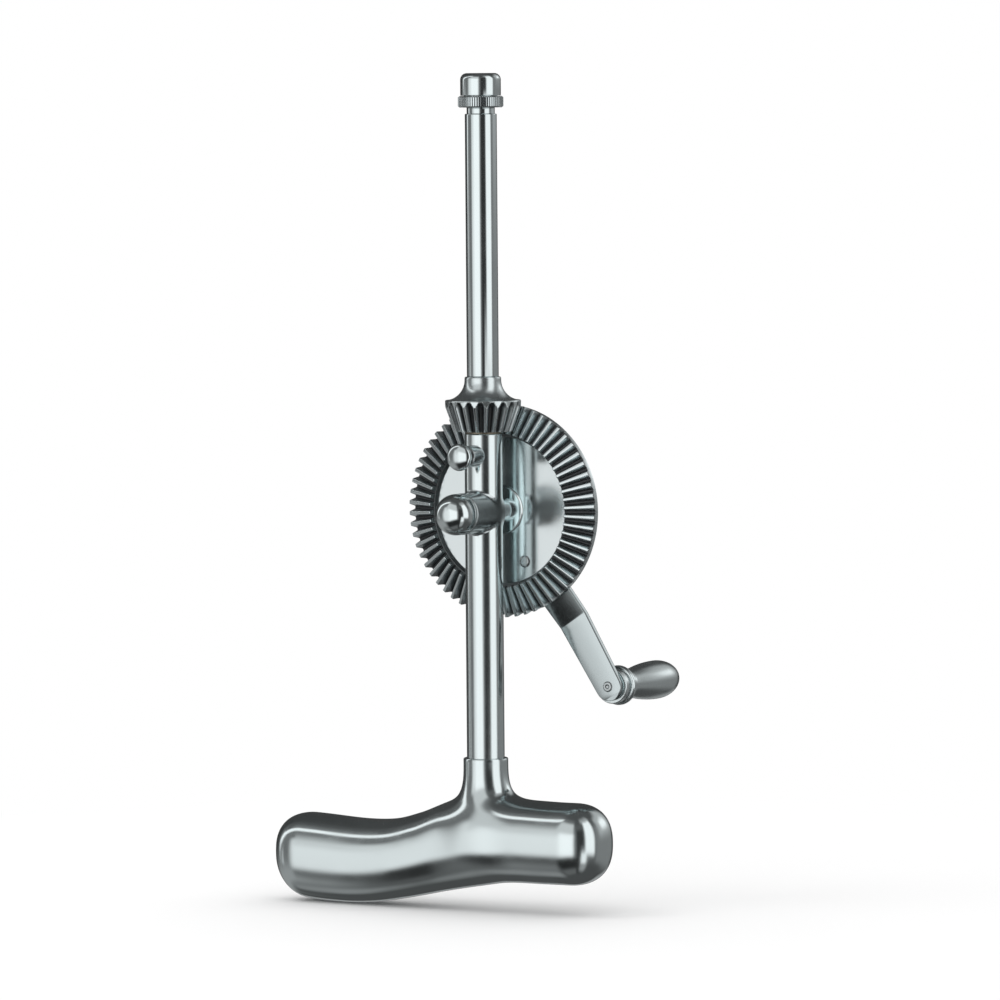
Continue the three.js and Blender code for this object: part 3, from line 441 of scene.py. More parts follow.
def metal(name, colour, roughness, waviness, scratches, haze, bump, dark=None):
    """A bare or plated metal. dark is a painted shade: a colour that the attribute "depth" brings into its
    hollows, where shade falls.
    """
    material = bpy.data.materials.new(name)
    material.use_nodes = True
    tree = material.node_tree
    given = {"Waviness": waviness, "Scratches": scratches, "Haze": haze}
    marks = add_node(tree, "ShaderNodeGroup", given, node_tree=POLISH_MARKS)
    duller = (*[c * TONE_SHARE for c in colour], 1)
    shown = mixed(tree, marks.outputs["Tone"], duller, (*colour, 1), "RGBA")
    rough = maths(tree, "ADD", marks.outputs["Rough"], roughness)
    # Painted shade: where the attribute depth is high, the hollows get the dark colour, and also more
    # roughness.
    if dark:
        depth = add_node(tree, "ShaderNodeAttribute", attribute_name="depth").outputs["Fac"]
        shown = mixed(tree, depth, shown, (*dark, 1), "RGBA")
        rough = maths(tree, "ADD", rough, maths(tree, "MULTIPLY", depth, HOLLOW_ROUGHNESS))
    given = {"Strength": bump, "Distance": RELIEF, "Height": marks.outputs["Height"]}
    relief = add_node(tree, "ShaderNodeBump", given)
    shader = tree.nodes["Principled BSDF"]
    shader.inputs["Metallic"].default_value = 1
    tree.links.new(shown, shader.inputs["Base Color"])
    tree.links.new(rough, shader.inputs["Roughness"])
    tree.links.new(relief.outputs["Normal"], shader.inputs["Normal"])
    return material


# Name, colour, roughness, waviness, scratches, haze and relief
PLATED = metal("plated", (0.87, 0.955, 0.965), 0.07, 0.3, 0.2, 0.2, 0.4)
CAST = metal("cast_plate", (0.86, 0.945, 0.955), 0.115, 0.8, 0.2, 0.3, 0.5)
DRAWN = metal("drawn_tube", (0.86, 0.945, 0.955), 0.13, 0.3, 0.2, 0.2, 0.4)
BRUSHED = metal("brushed_plate", (0.76, 0.83, 0.845), 0.17, 0.3, 0.4, 0.4, 0.5)
# The last colour of the toothed and knurled metals is the painted shade of their hollows.
TOOTHED = metal("cut_teeth", (0.85, 0.93, 0.945), 0.2, 0.1, 0.3, 0.3, 0.4, dark=(0.1, 0.105, 0.11))
KNURLED = metal("knurled_plate", (0.85, 0.93, 0.945), 0.12, 0.1, 0.3, 0.3, 0.3, dark=(0.08, 0.085, 0.09))
SATIN = metal("satin_arm", (0.63, 0.7, 0.71), 0.12, 0.2, 0.3, 0.2, 0.3)
SOFT = metal("soft_plate", (0.84, 0.92, 0.93), 0.17, 0.3, 0.3, 0.3, 0.5)
TURNED = metal("turned_disc", (0.87, 0.94, 0.95), 0.11, 0.2, 0.2, 0.3, 0.5)
STEEL = metal("bare_steel", (0.66, 0.71, 0.72), 0.2, 0.2, 0.4, 0.4, 0.5)
BRONZE = metal("bearing_bronze", (0.28, 0.25, 0.2), 0.3, 0.2, 0.5, 0.5, 0.5)
SPRING = metal("spring_wire", (0.4, 0.42, 0.44), 0.3, 0.2, 0.4, 0.4, 0.4)


# Curved surfaces: a rough blank gets even faces, and its points move to where a distance is zero

BLANK_FACETS = 48
LEAST_SLOPE = 0.02
LEAST_SQUARE = 1e-4
SEATING_ROUNDS = 8
NORMALS_AGREE = 0.9


def slope_of(field, p, step=0.02):
    steps = np.eye(3) * step
    return np.stack([(field(p + s) - field(p - s)) / (2 * step) for s in steps], axis=1)


def merged(a, b, blend):
    """The union of two distances, with a fillet that starts without a crease."""
    near = np.maximum(blend - np.abs(a - b), 0) / blend
    return np.minimum(a, b) - near**3 * blend / 6


def points_of(mesh):
    p = np.empty(len(mesh.vertices) * 3)
    mesh.vertices.foreach_get("co", p)
    return p.reshape(-1, 3)


def seated(name, blank, voxel, distance):
    """A blank's outer skin in even faces, moved onto the surface where a distance is zero."""
    shape = new_object(name, blank)
    remesh = shape.modifiers.new("even", "REMESH")
    remesh.mode = "VOXEL"
    remesh.voxel_size = voxel
    skin = evaluated(shape)
    p = points_of(skin)
    for _ in range(SEATING_ROUNDS):
        slope = slope_of(distance, p)
        p = p - (distance(p) / np.maximum((slope**2).sum(1), LEAST_SQUARE))[:, None] * slope
    skin.vertices.foreach_set("co", p.ravel())
    skin.update()
    return skin


def sliced(mesh, at, normal):
    """A mesh as a bmesh without what lies past a plane, left open there."""
    bm = opened(mesh)
    everything = bm.verts[:] + bm.edges[:] + bm.faces[:]
    bmesh.ops.bisect_plane(bm, geom=everything, plane_co=at, plane_no=normal, clear_outer=True)
    bmesh.ops.dissolve_degenerate(bm, edges=bm.edges, dist=1e-3)
    return bm


def rim_loop(bm):
    """The corners of an open edge, in order."""
    edge = next(e for e in bm.edges if e.is_boundary)
    start = edge.verts[0]
    loop, here = [start], edge.verts[1]
    while here is not start:
        loop.append(here)
        edge = next(e for e in here.link_edges if e.is_boundary and e is not edge)
        here = edge.other_vert(here)
    return loop


def smooth_normals(mesh, distance, keep):
    """Exact normals where a point passes keep and they agree with the mesh's own, which stay elsewhere."""
    p = points_of(mesh)
    slope = slope_of(distance, p)
    slope /= np.maximum(np.linalg.norm(slope, axis=1), TINY)[:, None]
    corners = np.empty(len(mesh.loops), int)
    mesh.loops.foreach_get("vertex_index", corners)
    own = np.array([n.vector for n in mesh.corner_normals])
    exact = slope[corners]
    use = keep(p)[corners] & ((own * exact).sum(1) > NORMALS_AGREE)
    mesh.normals_split_custom_set(np.where(use[:, None], exact, own).tolist())


# Palm handle: a bar and a collar that flow into each other

def curve_through(shares):
    """A smooth height along the handle through given places."""
    places = np.array([(x * (HANDLE_LEFT if x < 0 else HANDLE_RIGHT), z * HANDLE_HEIGHT) for x, z in shares])
    xs, zs = places.T
    slopes = np.gradient(zs, xs)
    slopes[1:-1] = (zs[2:] - zs[:-2]) / (xs[2:] - xs[:-2])

    def height(x):
        k = np.clip(np.searchsorted(xs, x) - 1, 0, len(xs) - 2)
        step = xs[k + 1] - xs[k]
        t = np.clip((x - xs[k]) / step, 0, 1)
        return (
            zs[k] * (2 * t**3 - 3 * t**2 + 1)
            + slopes[k] * step * (t**3 - 2 * t**2 + t)
            + zs[k + 1] * (3 * t**2 - 2 * t**3)
            + slopes[k + 1] * step * (t**3 - t**2)
        )

    return height


top_of = curve_through(HANDLE_TOP)
under_of = curve_through(HANDLE_UNDER)


def into_cap(x):
    """How far a place is into one of the handle's rounded ends, from 0 to 1."""
    past = np.maximum(-HANDLE_LEFT + HANDLE_CAP - x, x - HANDLE_RIGHT + HANDLE_CAP)
    return np.maximum(past, 0) / HANDLE_CAP


def bar_level(p):
    """Below 1 inside the handle's bar, above 1 outside."""
    x, y, z = p.T
    top, under = top_of(x), under_of(x)
    tall = np.abs(z - (top + under) / 2) / ((top - under) / 2)
    n = HANDLE_ROUNDNESS
    return ((np.abs(y) / HANDLE_HALF_DEPTH) ** n + tall**n + into_cap(x)**n + TINY) ** (1 / n)


def handle_distance(p):
    level = bar_level(p)
    bar = (level - 1) / np.maximum(np.linalg.norm(slope_of(bar_level, p), axis=1), LEAST_SLOPE)
    collar = -merged(COLLAR_R - np.hypot(p[:, 0], p[:, 1]), p[:, 2] - COLLAR_ROOT, COLLAR_FOOT)
    return merged(bar, collar, COLLAR_BLEND)


def handle_blank():
    """A rough solid round the handle."""
    points = []
    stations, sides = 60, 24
    for x in np.linspace(-HANDLE_LEFT + 0.4, HANDLE_RIGHT - 0.4, stations):
        top, under = top_of(np.array([x]))[0], under_of(np.array([x]))[0]
        shrink = (1 - into_cap(x)**HANDLE_ROUNDNESS) ** (1 / HANDLE_ROUNDNESS)
        for k in range(sides):
            a = TAU * k / sides
            z = (top + under) / 2 + shrink * (top - under) / 2 * math.sin(a)
            points.append((x, shrink * HANDLE_HALF_DEPTH * math.cos(a), z))
    bm = opened(tube_of_rings("bar", points, sides))
    foot, high = COLLAR_TOP - 12, COLLAR_TOP + 3
    collar = [(0, COLLAR_ROOT), (COLLAR_R + 1, COLLAR_ROOT), (COLLAR_R, foot), (COLLAR_R, high), (0, high)]
    bm.from_mesh(turned_mesh("collar", collar, SPINDLE_LINE, BLANK_FACETS))
    return faced_outward(written(bm, bpy.data.meshes.new("handle_blank")))


def grown_rings(bm, loop, rings):
    """Adds rings (r, z) of faces to an open round edge, and closes the last one."""
    for r, z in rings:
        fresh = []
        for v in loop:
            flat = Vector((v.co.x, v.co.y)).normalized() * r
            fresh.append(bm.verts.new((flat.x, flat.y, z)))
        for i in range(len(loop)):
            k = (i + 1) % len(loop)
            bm.faces.new((loop[i], loop[k], fresh[k], fresh[i]))
        loop = fresh
    bm.faces.new(loop)


def palm_handle():
    skin = seated("handle_skin", handle_blank(), HANDLE_VOXEL, handle_distance)
    rim_z = COLLAR_TOP - COLLAR_CHAMFER
    bm = sliced(skin, (0, 0, rim_z), (0, 0, 1))
    loop = rim_loop(bm)
    for v in loop:
        v.co.xy = v.co.xy.normalized() * COLLAR_R
    grown_rings(bm, loop, [
        (COLLAR_R - 0.3 * COLLAR_CHAMFER, COLLAR_TOP - 0.3 * COLLAR_CHAMFER),
        (COLLAR_R - COLLAR_CHAMFER, COLLAR_TOP),
        (SOCKET_R, COLLAR_TOP),
        (SOCKET_R, COLLAR_TOP - SOCKET_DEPTH),
    ])
    written(bm, skin)
    faced_outward(skin)
    shaded(skin, 30)
    smooth_normals(skin, handle_distance, lambda p: p[:, 2] < rim_z - 0.01)
    finish_object("handle", skin, "frame", CAST, "palm_handle", sharp=None)


# Boss, tube, bushes, hub, ring and cap

def boss_distance(p):
    x, y, z = p[:, 0], p[:, 1], p[:, 2] - AXLE_Z
    round_r = np.hypot(x, z) - (BOSS_R - BOSS_EDGE)
    long_y = np.maximum(BOSS_FRONT + BOSS_EDGE - y, y - BOSS_REAR + BOSS_EDGE)
    outside = np.hypot(np.maximum(round_r, 0), np.maximum(long_y, 0))
    boss = outside + np.minimum(np.maximum(round_r, long_y), 0) - BOSS_EDGE
    tube = np.hypot(x, y) - (TUBE_R - HIDDEN)
    return merged(boss, tube, BOSS_BLEND)


def axle_boss():
    bm = bmesh.new()
    reach = BOSS_HALF + 2
    for along, r, low, high in (("Y", BOSS_R, BOSS_FRONT, BOSS_REAR), ("Z", TUBE_R, -reach, reach)):
        outline = [(0, low), (r, low), (r, high), (0, high)]
        bm.from_mesh(turned_mesh("boss", outline, (along, AXLE_LINE[1]), BLANK_FACETS))
    blank = written(bm, bpy.data.meshes.new("boss_blank"))
    skin = seated("boss_skin", blank, BOSS_VOXEL, boss_distance)
    for side in (1, -1):
        bm = sliced(skin, (0, 0, AXLE_Z + side * BOSS_HALF), (0, 0, side))
        bm.faces.new(rim_loop(bm))
        written(bm, skin)
    faced_outward(skin)
    shaded(skin, 40)
    inner = BOSS_HALF - 0.3
    smooth_normals(skin, boss_distance, lambda p: np.abs(p[:, 2] - AXLE_Z) < inner)
    finish_object("boss", skin, "frame", BRUSHED, "axle_boss", sharp=None)


def frame_tube():
    bore = TUBE_R - TUBE_WALL
    bottom = COLLAR_TOP - SOCKET_DEPTH + 0.2
    outline = [(bore, bottom), (TUBE_R, bottom), (TUBE_R, TUBE_TOP, 0.35), (bore, TUBE_TOP, 0.2)]
    turned("tube", bored(outline), SPINDLE_LINE, "frame", DRAWN, "frame_tube")


def bushes_and_cap():
    front, rear = span("axle_bush", "y")
    front += 0.2
    bush_r = span("axle_bush", "x")[1]
    outline = [(AXLE_BORE_R, front), (bush_r, front), (bush_r, rear, 0.3), (AXLE_BORE_R, rear)]
    turned("cross_bush", bored(outline), AXLE_LINE, "frame", BRUSHED, "axle_bush")

    front, rear = span("gear_hub", "y")
    hub_r = span("gear_hub", "x")[1]
    cone_r = hub_r - 0.6 * (WEB_FRONT - front)
    seat = WEB_FRONT + 0.05
    outline = [
        (AXLE_BORE_R, front), (cone_r, front, 0.3), (hub_r, WEB_FRONT - 0.15, 0.2), (hub_r, seat),
        (SPIGOT_R, seat), (SPIGOT_R, rear), (AXLE_BORE_R, rear),
    ]
    turned("hub_flange", bored(outline), AXLE_LINE, "crank", PLATED, "gear_hub")

    front, rear = span("axle_ring", "y")
    ring_r = span("axle_ring", "x")[1]
    outline = [(AXLE_BORE_R, front), (ring_r, front, 0.3), (ring_r, rear, 0.3), (AXLE_BORE_R, rear)]
    turned("cap_ring", bored(outline), AXLE_LINE, "crank", PLATED, "axle_ring")

    front, rear = span("axle_cap", "y")
    cap_r = span("axle_cap", "x")[1]
    land = rear - 0.5
    power = 2 / DOME_EXPONENT
    outline = [(AXLE_BORE_R, rear), (cap_r - 0.15, rear, 0.1), (cap_r, rear - 0.2)]
    for t in np.linspace(0, math.pi / 2, 26)[1:-1]:
        outline.append((cap_r * math.cos(t) ** power, land + (front - land) * math.sin(t) ** power))
    turned("cap", outline + [(0, front)], AXLE_LINE, "crank", PLATED, "axle_cap")

    low, high = span("thrust_washer", "z")
    washer_r = span("thrust_washer", "x")[1]
    outline = [(JOURNAL_BORE_R, low), (washer_r, low, 0.15), (washer_r, high, 0.15), (JOURNAL_BORE_R, high)]
    turned("washer", bored(outline), SPINDLE_LINE, "frame", BRONZE, "thrust_washer")


# Teeth: one sector of a wheel, copied round its axis by geometry nodes

def copies_tree():
    """Copies a sector round an axis, closes the seams and sets the material."""
    shape = [("Geometry", "Geometry")]
    inputs = shape + [("Copies", "Int"), ("Axis", "Vector"), ("Seam", "Float"), ("Finish", "Material")]
    tree = new_group("copies_round_axis", "GeometryNodeTree", inputs, shape)
    given = tree.nodes.new("NodeGroupInput").outputs
    places = add_node(tree, "GeometryNodeMeshLine", {"Offset": (0, 0, 0), "Count": given["Copies"]})
    index = tree.nodes.new("GeometryNodeInputIndex").outputs[0]
    turn = maths(tree, "MULTIPLY", index, maths(tree, "DIVIDE", TAU, given["Copies"]))
    euler = add_node(tree, "ShaderNodeVectorMath", {0: given["Axis"], "Scale": turn}, operation="SCALE")
    put = add_node(tree, "GeometryNodeInstanceOnPoints", {
        "Points": places.outputs["Mesh"], "Instance": given["Geometry"], "Rotation": euler.outputs[0],
    })
    real = add_node(tree, "GeometryNodeRealizeInstances", {"Geometry": put.outputs["Instances"]})
    weld = add_node(tree, "GeometryNodeMergeByDistance", {
        "Geometry": real.outputs["Geometry"], "Distance": given["Seam"],
    })
    paint = add_node(tree, "GeometryNodeSetMaterial", {
        "Geometry": weld.outputs["Geometry"], "Material": given["Finish"],
    })
    add_node(tree, "NodeGroupOutput", {"Geometry": paint.outputs["Geometry"]})
    return tree


COPIES_TREE = copies_tree()


def copied_round(name, sector, copies, axis, material):
    """A whole wheel's mesh from one sector of it."""
    shape = new_object(name, sector)
    modifier = shape.modifiers.new("copies", "NODES")
    modifier.node_group = COPIES_TREE
    values = {"Copies": copies, "Axis": axis, "Seam": 0.002, "Finish": material}
    for item in COPIES_TREE.interface.items_tree:
        if item.in_out == "INPUT" and item.name in values:
            modifier[item.identifier] = values[item.name]
    return evaluated(shape)


def sector_mesh(name, lines, place):
    """A sector from its lines, each (angle, points) and closed round the wheel's section. place puts a point
    (radius, height, shade) in space, and the attribute "depth" gets its shade."""
    rows = len(lines[0][1])
    faces = []
    for c in range(len(lines) - 1):
        for r in range(rows - 1):
            faces.append([c * rows + r, c * rows + r + 1, (c + 1) * rows + r + 1, (c + 1) * rows + r])
    mesh = mesh_from(name, [place(r, h, a) for a, line in lines for r, h, _ in line], faces)
    attribute = mesh.attributes.new("depth", "FLOAT", "POINT")
    attribute.data.foreach_set("value", [shade for _, line in lines for _, _, shade in line])
    return mesh


def across_tooth(flank, pitch_r, teeth):
    """Angles and heights across a tooth, from one gap's middle to the next."""
    half = [(u / pitch_r, h) for u, h in flank] + [(math.pi / teeth, flank[-1][1])]
    return [(-a, h) for a, h in reversed(half)] + half[1:]


# Painted shade at a share of a hollow's depth, from a gain and a power.
def painted_hollow_shade(depth, shade):
    gain, power = shade
    return min(1, gain * max(depth, 0) ** power)


def gear_end(h):
    """Radius and place along the axle of a height on the outer end of a gear tooth."""
    return GEAR_R + h * SIN_PINION, PINION_R - h * COS_PINION


def bevel_gear():
    root_r, root_y = gear_end(GEAR_ROOT)
    toe_r, toe_y = root_r * INNER_SHARE, root_y * INNER_SHARE
    fillet = arc((WEB_EDGE_R, WEB_FRONT - WEB_FILLET), (WEB_FILLET, WEB_FILLET), 90, 20, 4)
    web = [(SPIGOT_R, WEB_FRONT, 0), (WEB_MIDDLE_R, WEB_FRONT, 0), (WEB_RADIUS - WEB_FILLET, WEB_FRONT, 0)]
    # The fillet and the wall round the web get painted shade.
    web += [(r, y, WALL_SHADE) for r, y in fillet + [(toe_r - 0.2, toe_y + 0.1), (toe_r, toe_y)]]
    rear = [
        (root_r, root_y, 0.3), (root_r, RIM_REAR - RIM_EDGE, 0), (root_r - RIM_EDGE, RIM_REAR, 0),
        (root_r - 3, RIM_REAR - 0.3, 0), (WEB_RADIUS - 1, WEB_REAR, 0), (WEB_MIDDLE_R, WEB_REAR, 0),
        (SPIGOT_R, WEB_REAR, 0), (SPIGOT_R, WEB_FRONT, 0),
    ]
    lines = []
    for a, h in across_tooth(GEAR_FLANK, GEAR_R, GEAR_TEETH):
        r, y = gear_end(h)
        stand = (h - GEAR_ROOT) / (GEAR_TIP - GEAR_ROOT)
        low_r, low_y = gear_end(h - TOOTH_CHAMFER * min(1, 3 * stand))
        tooth = [(low_r * INNER_SHARE, low_y * INNER_SHARE)]
        tooth += [(r * share, y * share) for share in TOOTH_SHARES] + [(low_r, low_y)]
        # The tooth gaps get painted shade, darker towards their roots.
        line = web + [(*point, 1 - stand) for point in tooth] + rear
        lines.append((a, [(r, y, painted_hollow_shade(shade, GEAR_SHADE)) for r, y, shade in line]))
    sector = sector_mesh("gear_sector", lines, lambda r, y, a: (r * math.sin(a), y, r * math.cos(a)))
    sector.transform(Matrix.Rotation(math.pi / GEAR_TEETH, 4, "Y"))
    mesh = copied_round("gear_copies", sector, GEAR_TEETH, (0, 1, 0), TOOTHED)
    mesh.transform(Matrix.Translation((0, 0, AXLE_Z)))
    gear = finish_object("bevel_gear", mesh, "crank", TOOTHED, "gear_wheel", sharp=28).data
    gear.materials.append(TURNED)
    for face in gear.polygons:
        radius = math.hypot(face.center.x, face.center.z - AXLE_Z * MM)
        if radius < WEB_EDGE_R * MM or face.center.y > (RIM_REAR - 0.35) * MM:
            face.material_index = 1


def pinion():
    flare_top = HUB_TOP - AXLE_Z - HUB_LAND
    small = GEAR_R * INNER_SHARE + PINION_SETBACK
    tip_share = (PINION_R + PINION_TIP * COS_PINION) / (GEAR_R - PINION_TIP * SIN_PINION)
    spread = PINION_OUTER_R - PINION_HUB_R
    turns = np.radians(np.concatenate([np.linspace(-90, -120, 21), np.linspace(-125, -180, 12)]))
    flare = [(PINION_OUTER_R + spread * math.cos(t), flare_top + FLARE_HEIGHT * math.sin(t)) for t in turns]
    brim_z = flare[0][1] - 0.3
    blank = [(small * tip_share - 0.15, small), (small * tip_share + 0.05, small + 0.2)]
    for z in np.linspace(RUNOUT_START, brim_z, 9):
        blank.append((min(z * tip_share, PINION_OUTER_R), z))
    blank += flare[1:]
    back = [(PINION_BORE_R, small, 0), (PINION_BACK_R, small, 0)]
    hub = [(PINION_HUB_R, -0.4), (PINION_HUB_R - 0.12, -0.12), (PINION_HUB_R - 0.4, 0), (PINION_BORE_R, 0)]
    hub = [(r, h, 0) for r, h in raised(hub, flare_top + HUB_LAND)] + back[:1]
    lines = []
    for a, h in across_tooth(PINION_FLANK, PINION_R, PINION_TEETH):
        share = (PINION_R + h * COS_PINION) / (GEAR_R - h * SIN_PINION)
        stand = (h - PINION_ROOT) / (PINION_TIP - PINION_ROOT)
        toothed = []
        for r, z in blank:
            out = max(z - RUNOUT_START, 0) / (brim_z - RUNOUT_START)
            cut = share * z + RUNOUT_RISE * out**2
            inside = cut < r - 0.01
            # Inside a tooth gap the point gets painted shade, darker towards the root.
            toothed.append((min(r, cut), z, painted_hollow_shade(1 - stand, PINION_SHADE) if inside else 0))
        lines.append((a, back + toothed + hub))
    sector = sector_mesh("pinion_sector", lines, lambda r, z, a: (-r * math.sin(a), r * math.cos(a), z))
    mesh = copied_round("pinion_copies", sector, PINION_TEETH, (0, 0, 1), TOOTHED)
    mesh.transform(Matrix.Translation((0, 0, AXLE_Z)))
    finish_object("pinion_gear", mesh, "spindle", TOOTHED, "pinion", sharp=30)


def knurled_ring():
    low, high = span("chuck_ring", "z")
    outer = span("chuck_ring", "x")[1]
    edge = outer - KNURL_DEPTH - 0.12
    recess_r, recess_z = 5.8, high - 0.9
    front = [(THREAD_BORE_R, low, 0), (edge - 0.15, low, 0), (edge, low + 0.12, 0)]
    rear = [
        (edge, high - 0.12, 0), (edge - 0.15, high, 0), (recess_r, high, 0), (recess_r, recess_z, 0),
        (THREAD_BORE_R, recess_z, 0), (THREAD_BORE_R, low, 0),
    ]
    step = math.pi / KNURLS
    lines = []
    for share, cut in KNURL_OUTLINE:
        r = outer - cut * KNURL_DEPTH
        # The groove gets painted shade, darkest at its bottom.
        lines.append((share * step, front + [(r, low + 0.45, cut), (r, high - 0.45, cut)] + rear))
    sector = sector_mesh("knurl_sector", lines, lambda r, z, a: (r * math.sin(a), r * math.cos(a), z))
    mesh = copied_round("knurl_copies", sector, KNURLS, (0, 0, 1), KNURLED)
    finish_object("knurled_ring", mesh, "chuck_ring", KNURLED, "chuck_ring", sharp=30)


# Spindle and chuck

def spindle_and_chuck():
    low, high = span("spindle", "z")
    shaft_r = span("spindle", "x")[1]
    journal_r, wire_r = 3.5, 1.3
    drilled = high - 28
    shaft_foot = HUB_TOP + 0.05
    outline = [
        (0, low), (journal_r, low, 0.5), (journal_r, shaft_foot), (shaft_r, shaft_foot, 0.25),
        (shaft_r, NOSE_Z, 0.5), (NOSE_R, NOSE_Z, 0.1), (NOSE_R, high, 0.3), (wire_r, high, 0.2),
        (wire_r, drilled), (0, drilled - 2),
    ]
    turned("spindle_shaft", outline, SPINDLE_LINE, "spindle", PLATED, "spindle")

    low, high = span("chuck_cap", "z")
    cap_r = span("chuck_cap", "x")[1]
    skirt_r, mouth_r, crown = 5.7, 2.6, 2.2
    shoulder = high - 7.6
    outline = [(THREAD_BORE_R, low), (skirt_r, low), (skirt_r, shoulder), (cap_r, shoulder, 0.25)]
    outline += arc((cap_r - crown, high - crown), (crown, crown), 0, 90, 12)
    outline += [(mouth_r + 0.15, high, 0.25), (mouth_r, high - 0.5), (mouth_r, high - 3)]
    outline += [(THREAD_BORE_R, high - 6.9)]
    turned("chuck_nose", bored(outline), SPINDLE_LINE, "chuck_cap", PLATED, "chuck_cap")


# Crank arm: a flat bar bent twice, with rounded ends and softened edges

def arm_section(along):
    """Half width and front face of the arm at a distance from the axle."""
    lean = (ARM_HUB_HALF - ARM_END_HALF) / CRANK_RADIUS
    start, end = ARM_HUB_HALF * lean, CRANK_RADIUS + ARM_END_HALF * lean
    if along < start:
        half = math.sqrt(max(ARM_HUB_HALF**2 - along**2, 0))
    elif along > end:
        half = math.sqrt(max(ARM_END_HALF**2 - (along - CRANK_RADIUS) ** 2, 0))
    else:
        t = (along - start) / (end - start)
        half = ARM_HUB_HALF + (ARM_END_HALF - ARM_HUB_HALF) * t
    rise = min(max((along - ARM_BEND_START) / (ARM_BEND_END - ARM_BEND_START), 0), 1)
    return half, WEB_REAR + (ARM_END_Y - WEB_REAR) * rise


def crank_arm():
    stations = [
        *[-ARM_HUB_HALF * math.cos(t) for t in np.linspace(0.02, 1.5, 20)],
        *np.linspace(1, ARM_BEND_START - 0.4, 6), ARM_BEND_START, ARM_BEND_START + 0.4,
        *np.linspace(ARM_BEND_START + 2, ARM_BEND_END - 0.5, 8), ARM_BEND_END - 0.12, ARM_BEND_END + 0.12,
        *np.linspace(ARM_BEND_END + 2, CRANK_RADIUS - 1, 6),
        *[CRANK_RADIUS + ARM_END_HALF * math.sin(t) for t in np.linspace(0.05, math.pi / 2 - 0.02, 18)],
    ]
    corner = [(math.cos(t), math.sin(t)) for t in np.radians(np.linspace(0, 90, 4))]
    points = []
    for along in stations:
        half, front = arm_section(along)
        edge = min(ARM_EDGE, 0.8 * half)
        middle_y = front + ARM_THICKNESS / 2
        for sx, sy in ((1, 1), (-1, 1), (-1, -1), (1, -1)):
            for cx, cy in corner if sx * sy > 0 else corner[::-1]:
                x = sx * (half - edge + edge * cx)
                y = middle_y + sy * (ARM_THICKNESS / 2 - ARM_EDGE + ARM_EDGE * cy)
                points.append((x, y, -along))
    mesh = tube_of_rings("arm", points, 4 * len(corner))
    mesh.transform(Matrix.Rotation(-ARM_ANGLE, 4, "Y"))
    mesh.transform(Matrix.Translation((0, 0, AXLE_Z)))
    finish_object("arm", mesh, "crank", SATIN, "crank_arm", sharp=20)


def across_arm(along, across):
    """A line along Y through a place on the arm."""
    x = along * math.sin(ARM_ANGLE) + across * math.cos(ARM_ANGLE)
    z = AXLE_Z - along * math.cos(ARM_ANGLE) + across * math.sin(ARM_ANGLE)
    return "Y", (x, 0, z)


def axle_and_rivets():
    front, rear = span("axle", "y")
    outline = [(0, front), (2.5, front, 0.2)] + raised(AXLE_HEAD, rear)
    turned("axle_pin", outline, AXLE_LINE, "crank", STEEL, "axle")

    front, rear = span("arm_rivet", "y")
    head_r, head_height = 2.7, 1.3
    head = rear - head_height
    outline = raised(DRIVE_RIVET_FRONT, front) + [(2.1, head), (head_r, head, 0.1)]
    outline += arc((0, head), (head_r, head_height), 15, 90, 8)[:-1] + [(0, rear)]
    line = across_arm(ARM_RIVET_AT, ARM_RIVET_OFFSET)
    turned("drive_rivet", outline, line, "crank", STEEL, "arm_rivet")

    front, rear = span("knob_pin", "y")
    behind_arm = ARM_END_Y + ARM_THICKNESS + 0.05
    outline = raised(KNOB_PIN_FRONT, front) + [(1.85, behind_arm), (2.4, behind_arm)]
    outline += raised(KNOB_PIN_REAR, rear)
    turned("knob_rivet", outline, across_arm(CRANK_RADIUS, 0), "crank", STEEL, "knob_pin")


def crank_knob():
    start, end = span("crank_knob", "y")[0], span("knob_plug", "y")[1]
    line = across_arm(CRANK_RADIUS, 0)
    plug_r = span("knob_plug", "x")[1] - line[1][0]
    base = ARM_END_Y + ARM_THICKNESS
    bore_r, waist_r, belly_r = 2.5, 4.3, 6.6
    waist, belly = 9.5, 30
    outline = softened(raised(KNOB_NECK, start))
    for t in np.linspace(0, 1, 14)[:-1]:
        ease = (1 - math.cos(math.pi * t**0.62)) / 2
        outline.append((waist_r + (belly_r - waist_r) * ease, base + waist + (belly - waist) * t))
    outline += arc((0, base + belly), (belly_r, end - base - belly), 0, 90, 18)
    # The knob ends where its outline reaches the plug, which carries the outline on
    cut = next(i for i, (r, h) in enumerate(outline) if r < plug_r + 0.15 and h > base + belly)
    face = outline[cut][1]
    knob = outline[:cut] + [(plug_r + 0.12, face), (plug_r + 0.05, face - 0.4)]
    knob += [(bore_r, face - 0.5), (bore_r, start)]
    finish_object("grip_knob", turned_mesh("knob", knob, line), "knob", SOFT, "crank_knob")
    plug = [(0, face - 2), (plug_r, face - 2), (plug_r, face - 0.02)]
    plug += [p for p in outline[cut:] if p[0] < plug_r - 0.05]
    plug[-1] = (0, end)
    finish_object("grip_plug", turned_mesh("plug", plug, line), "knob", SOFT, "knob_plug")


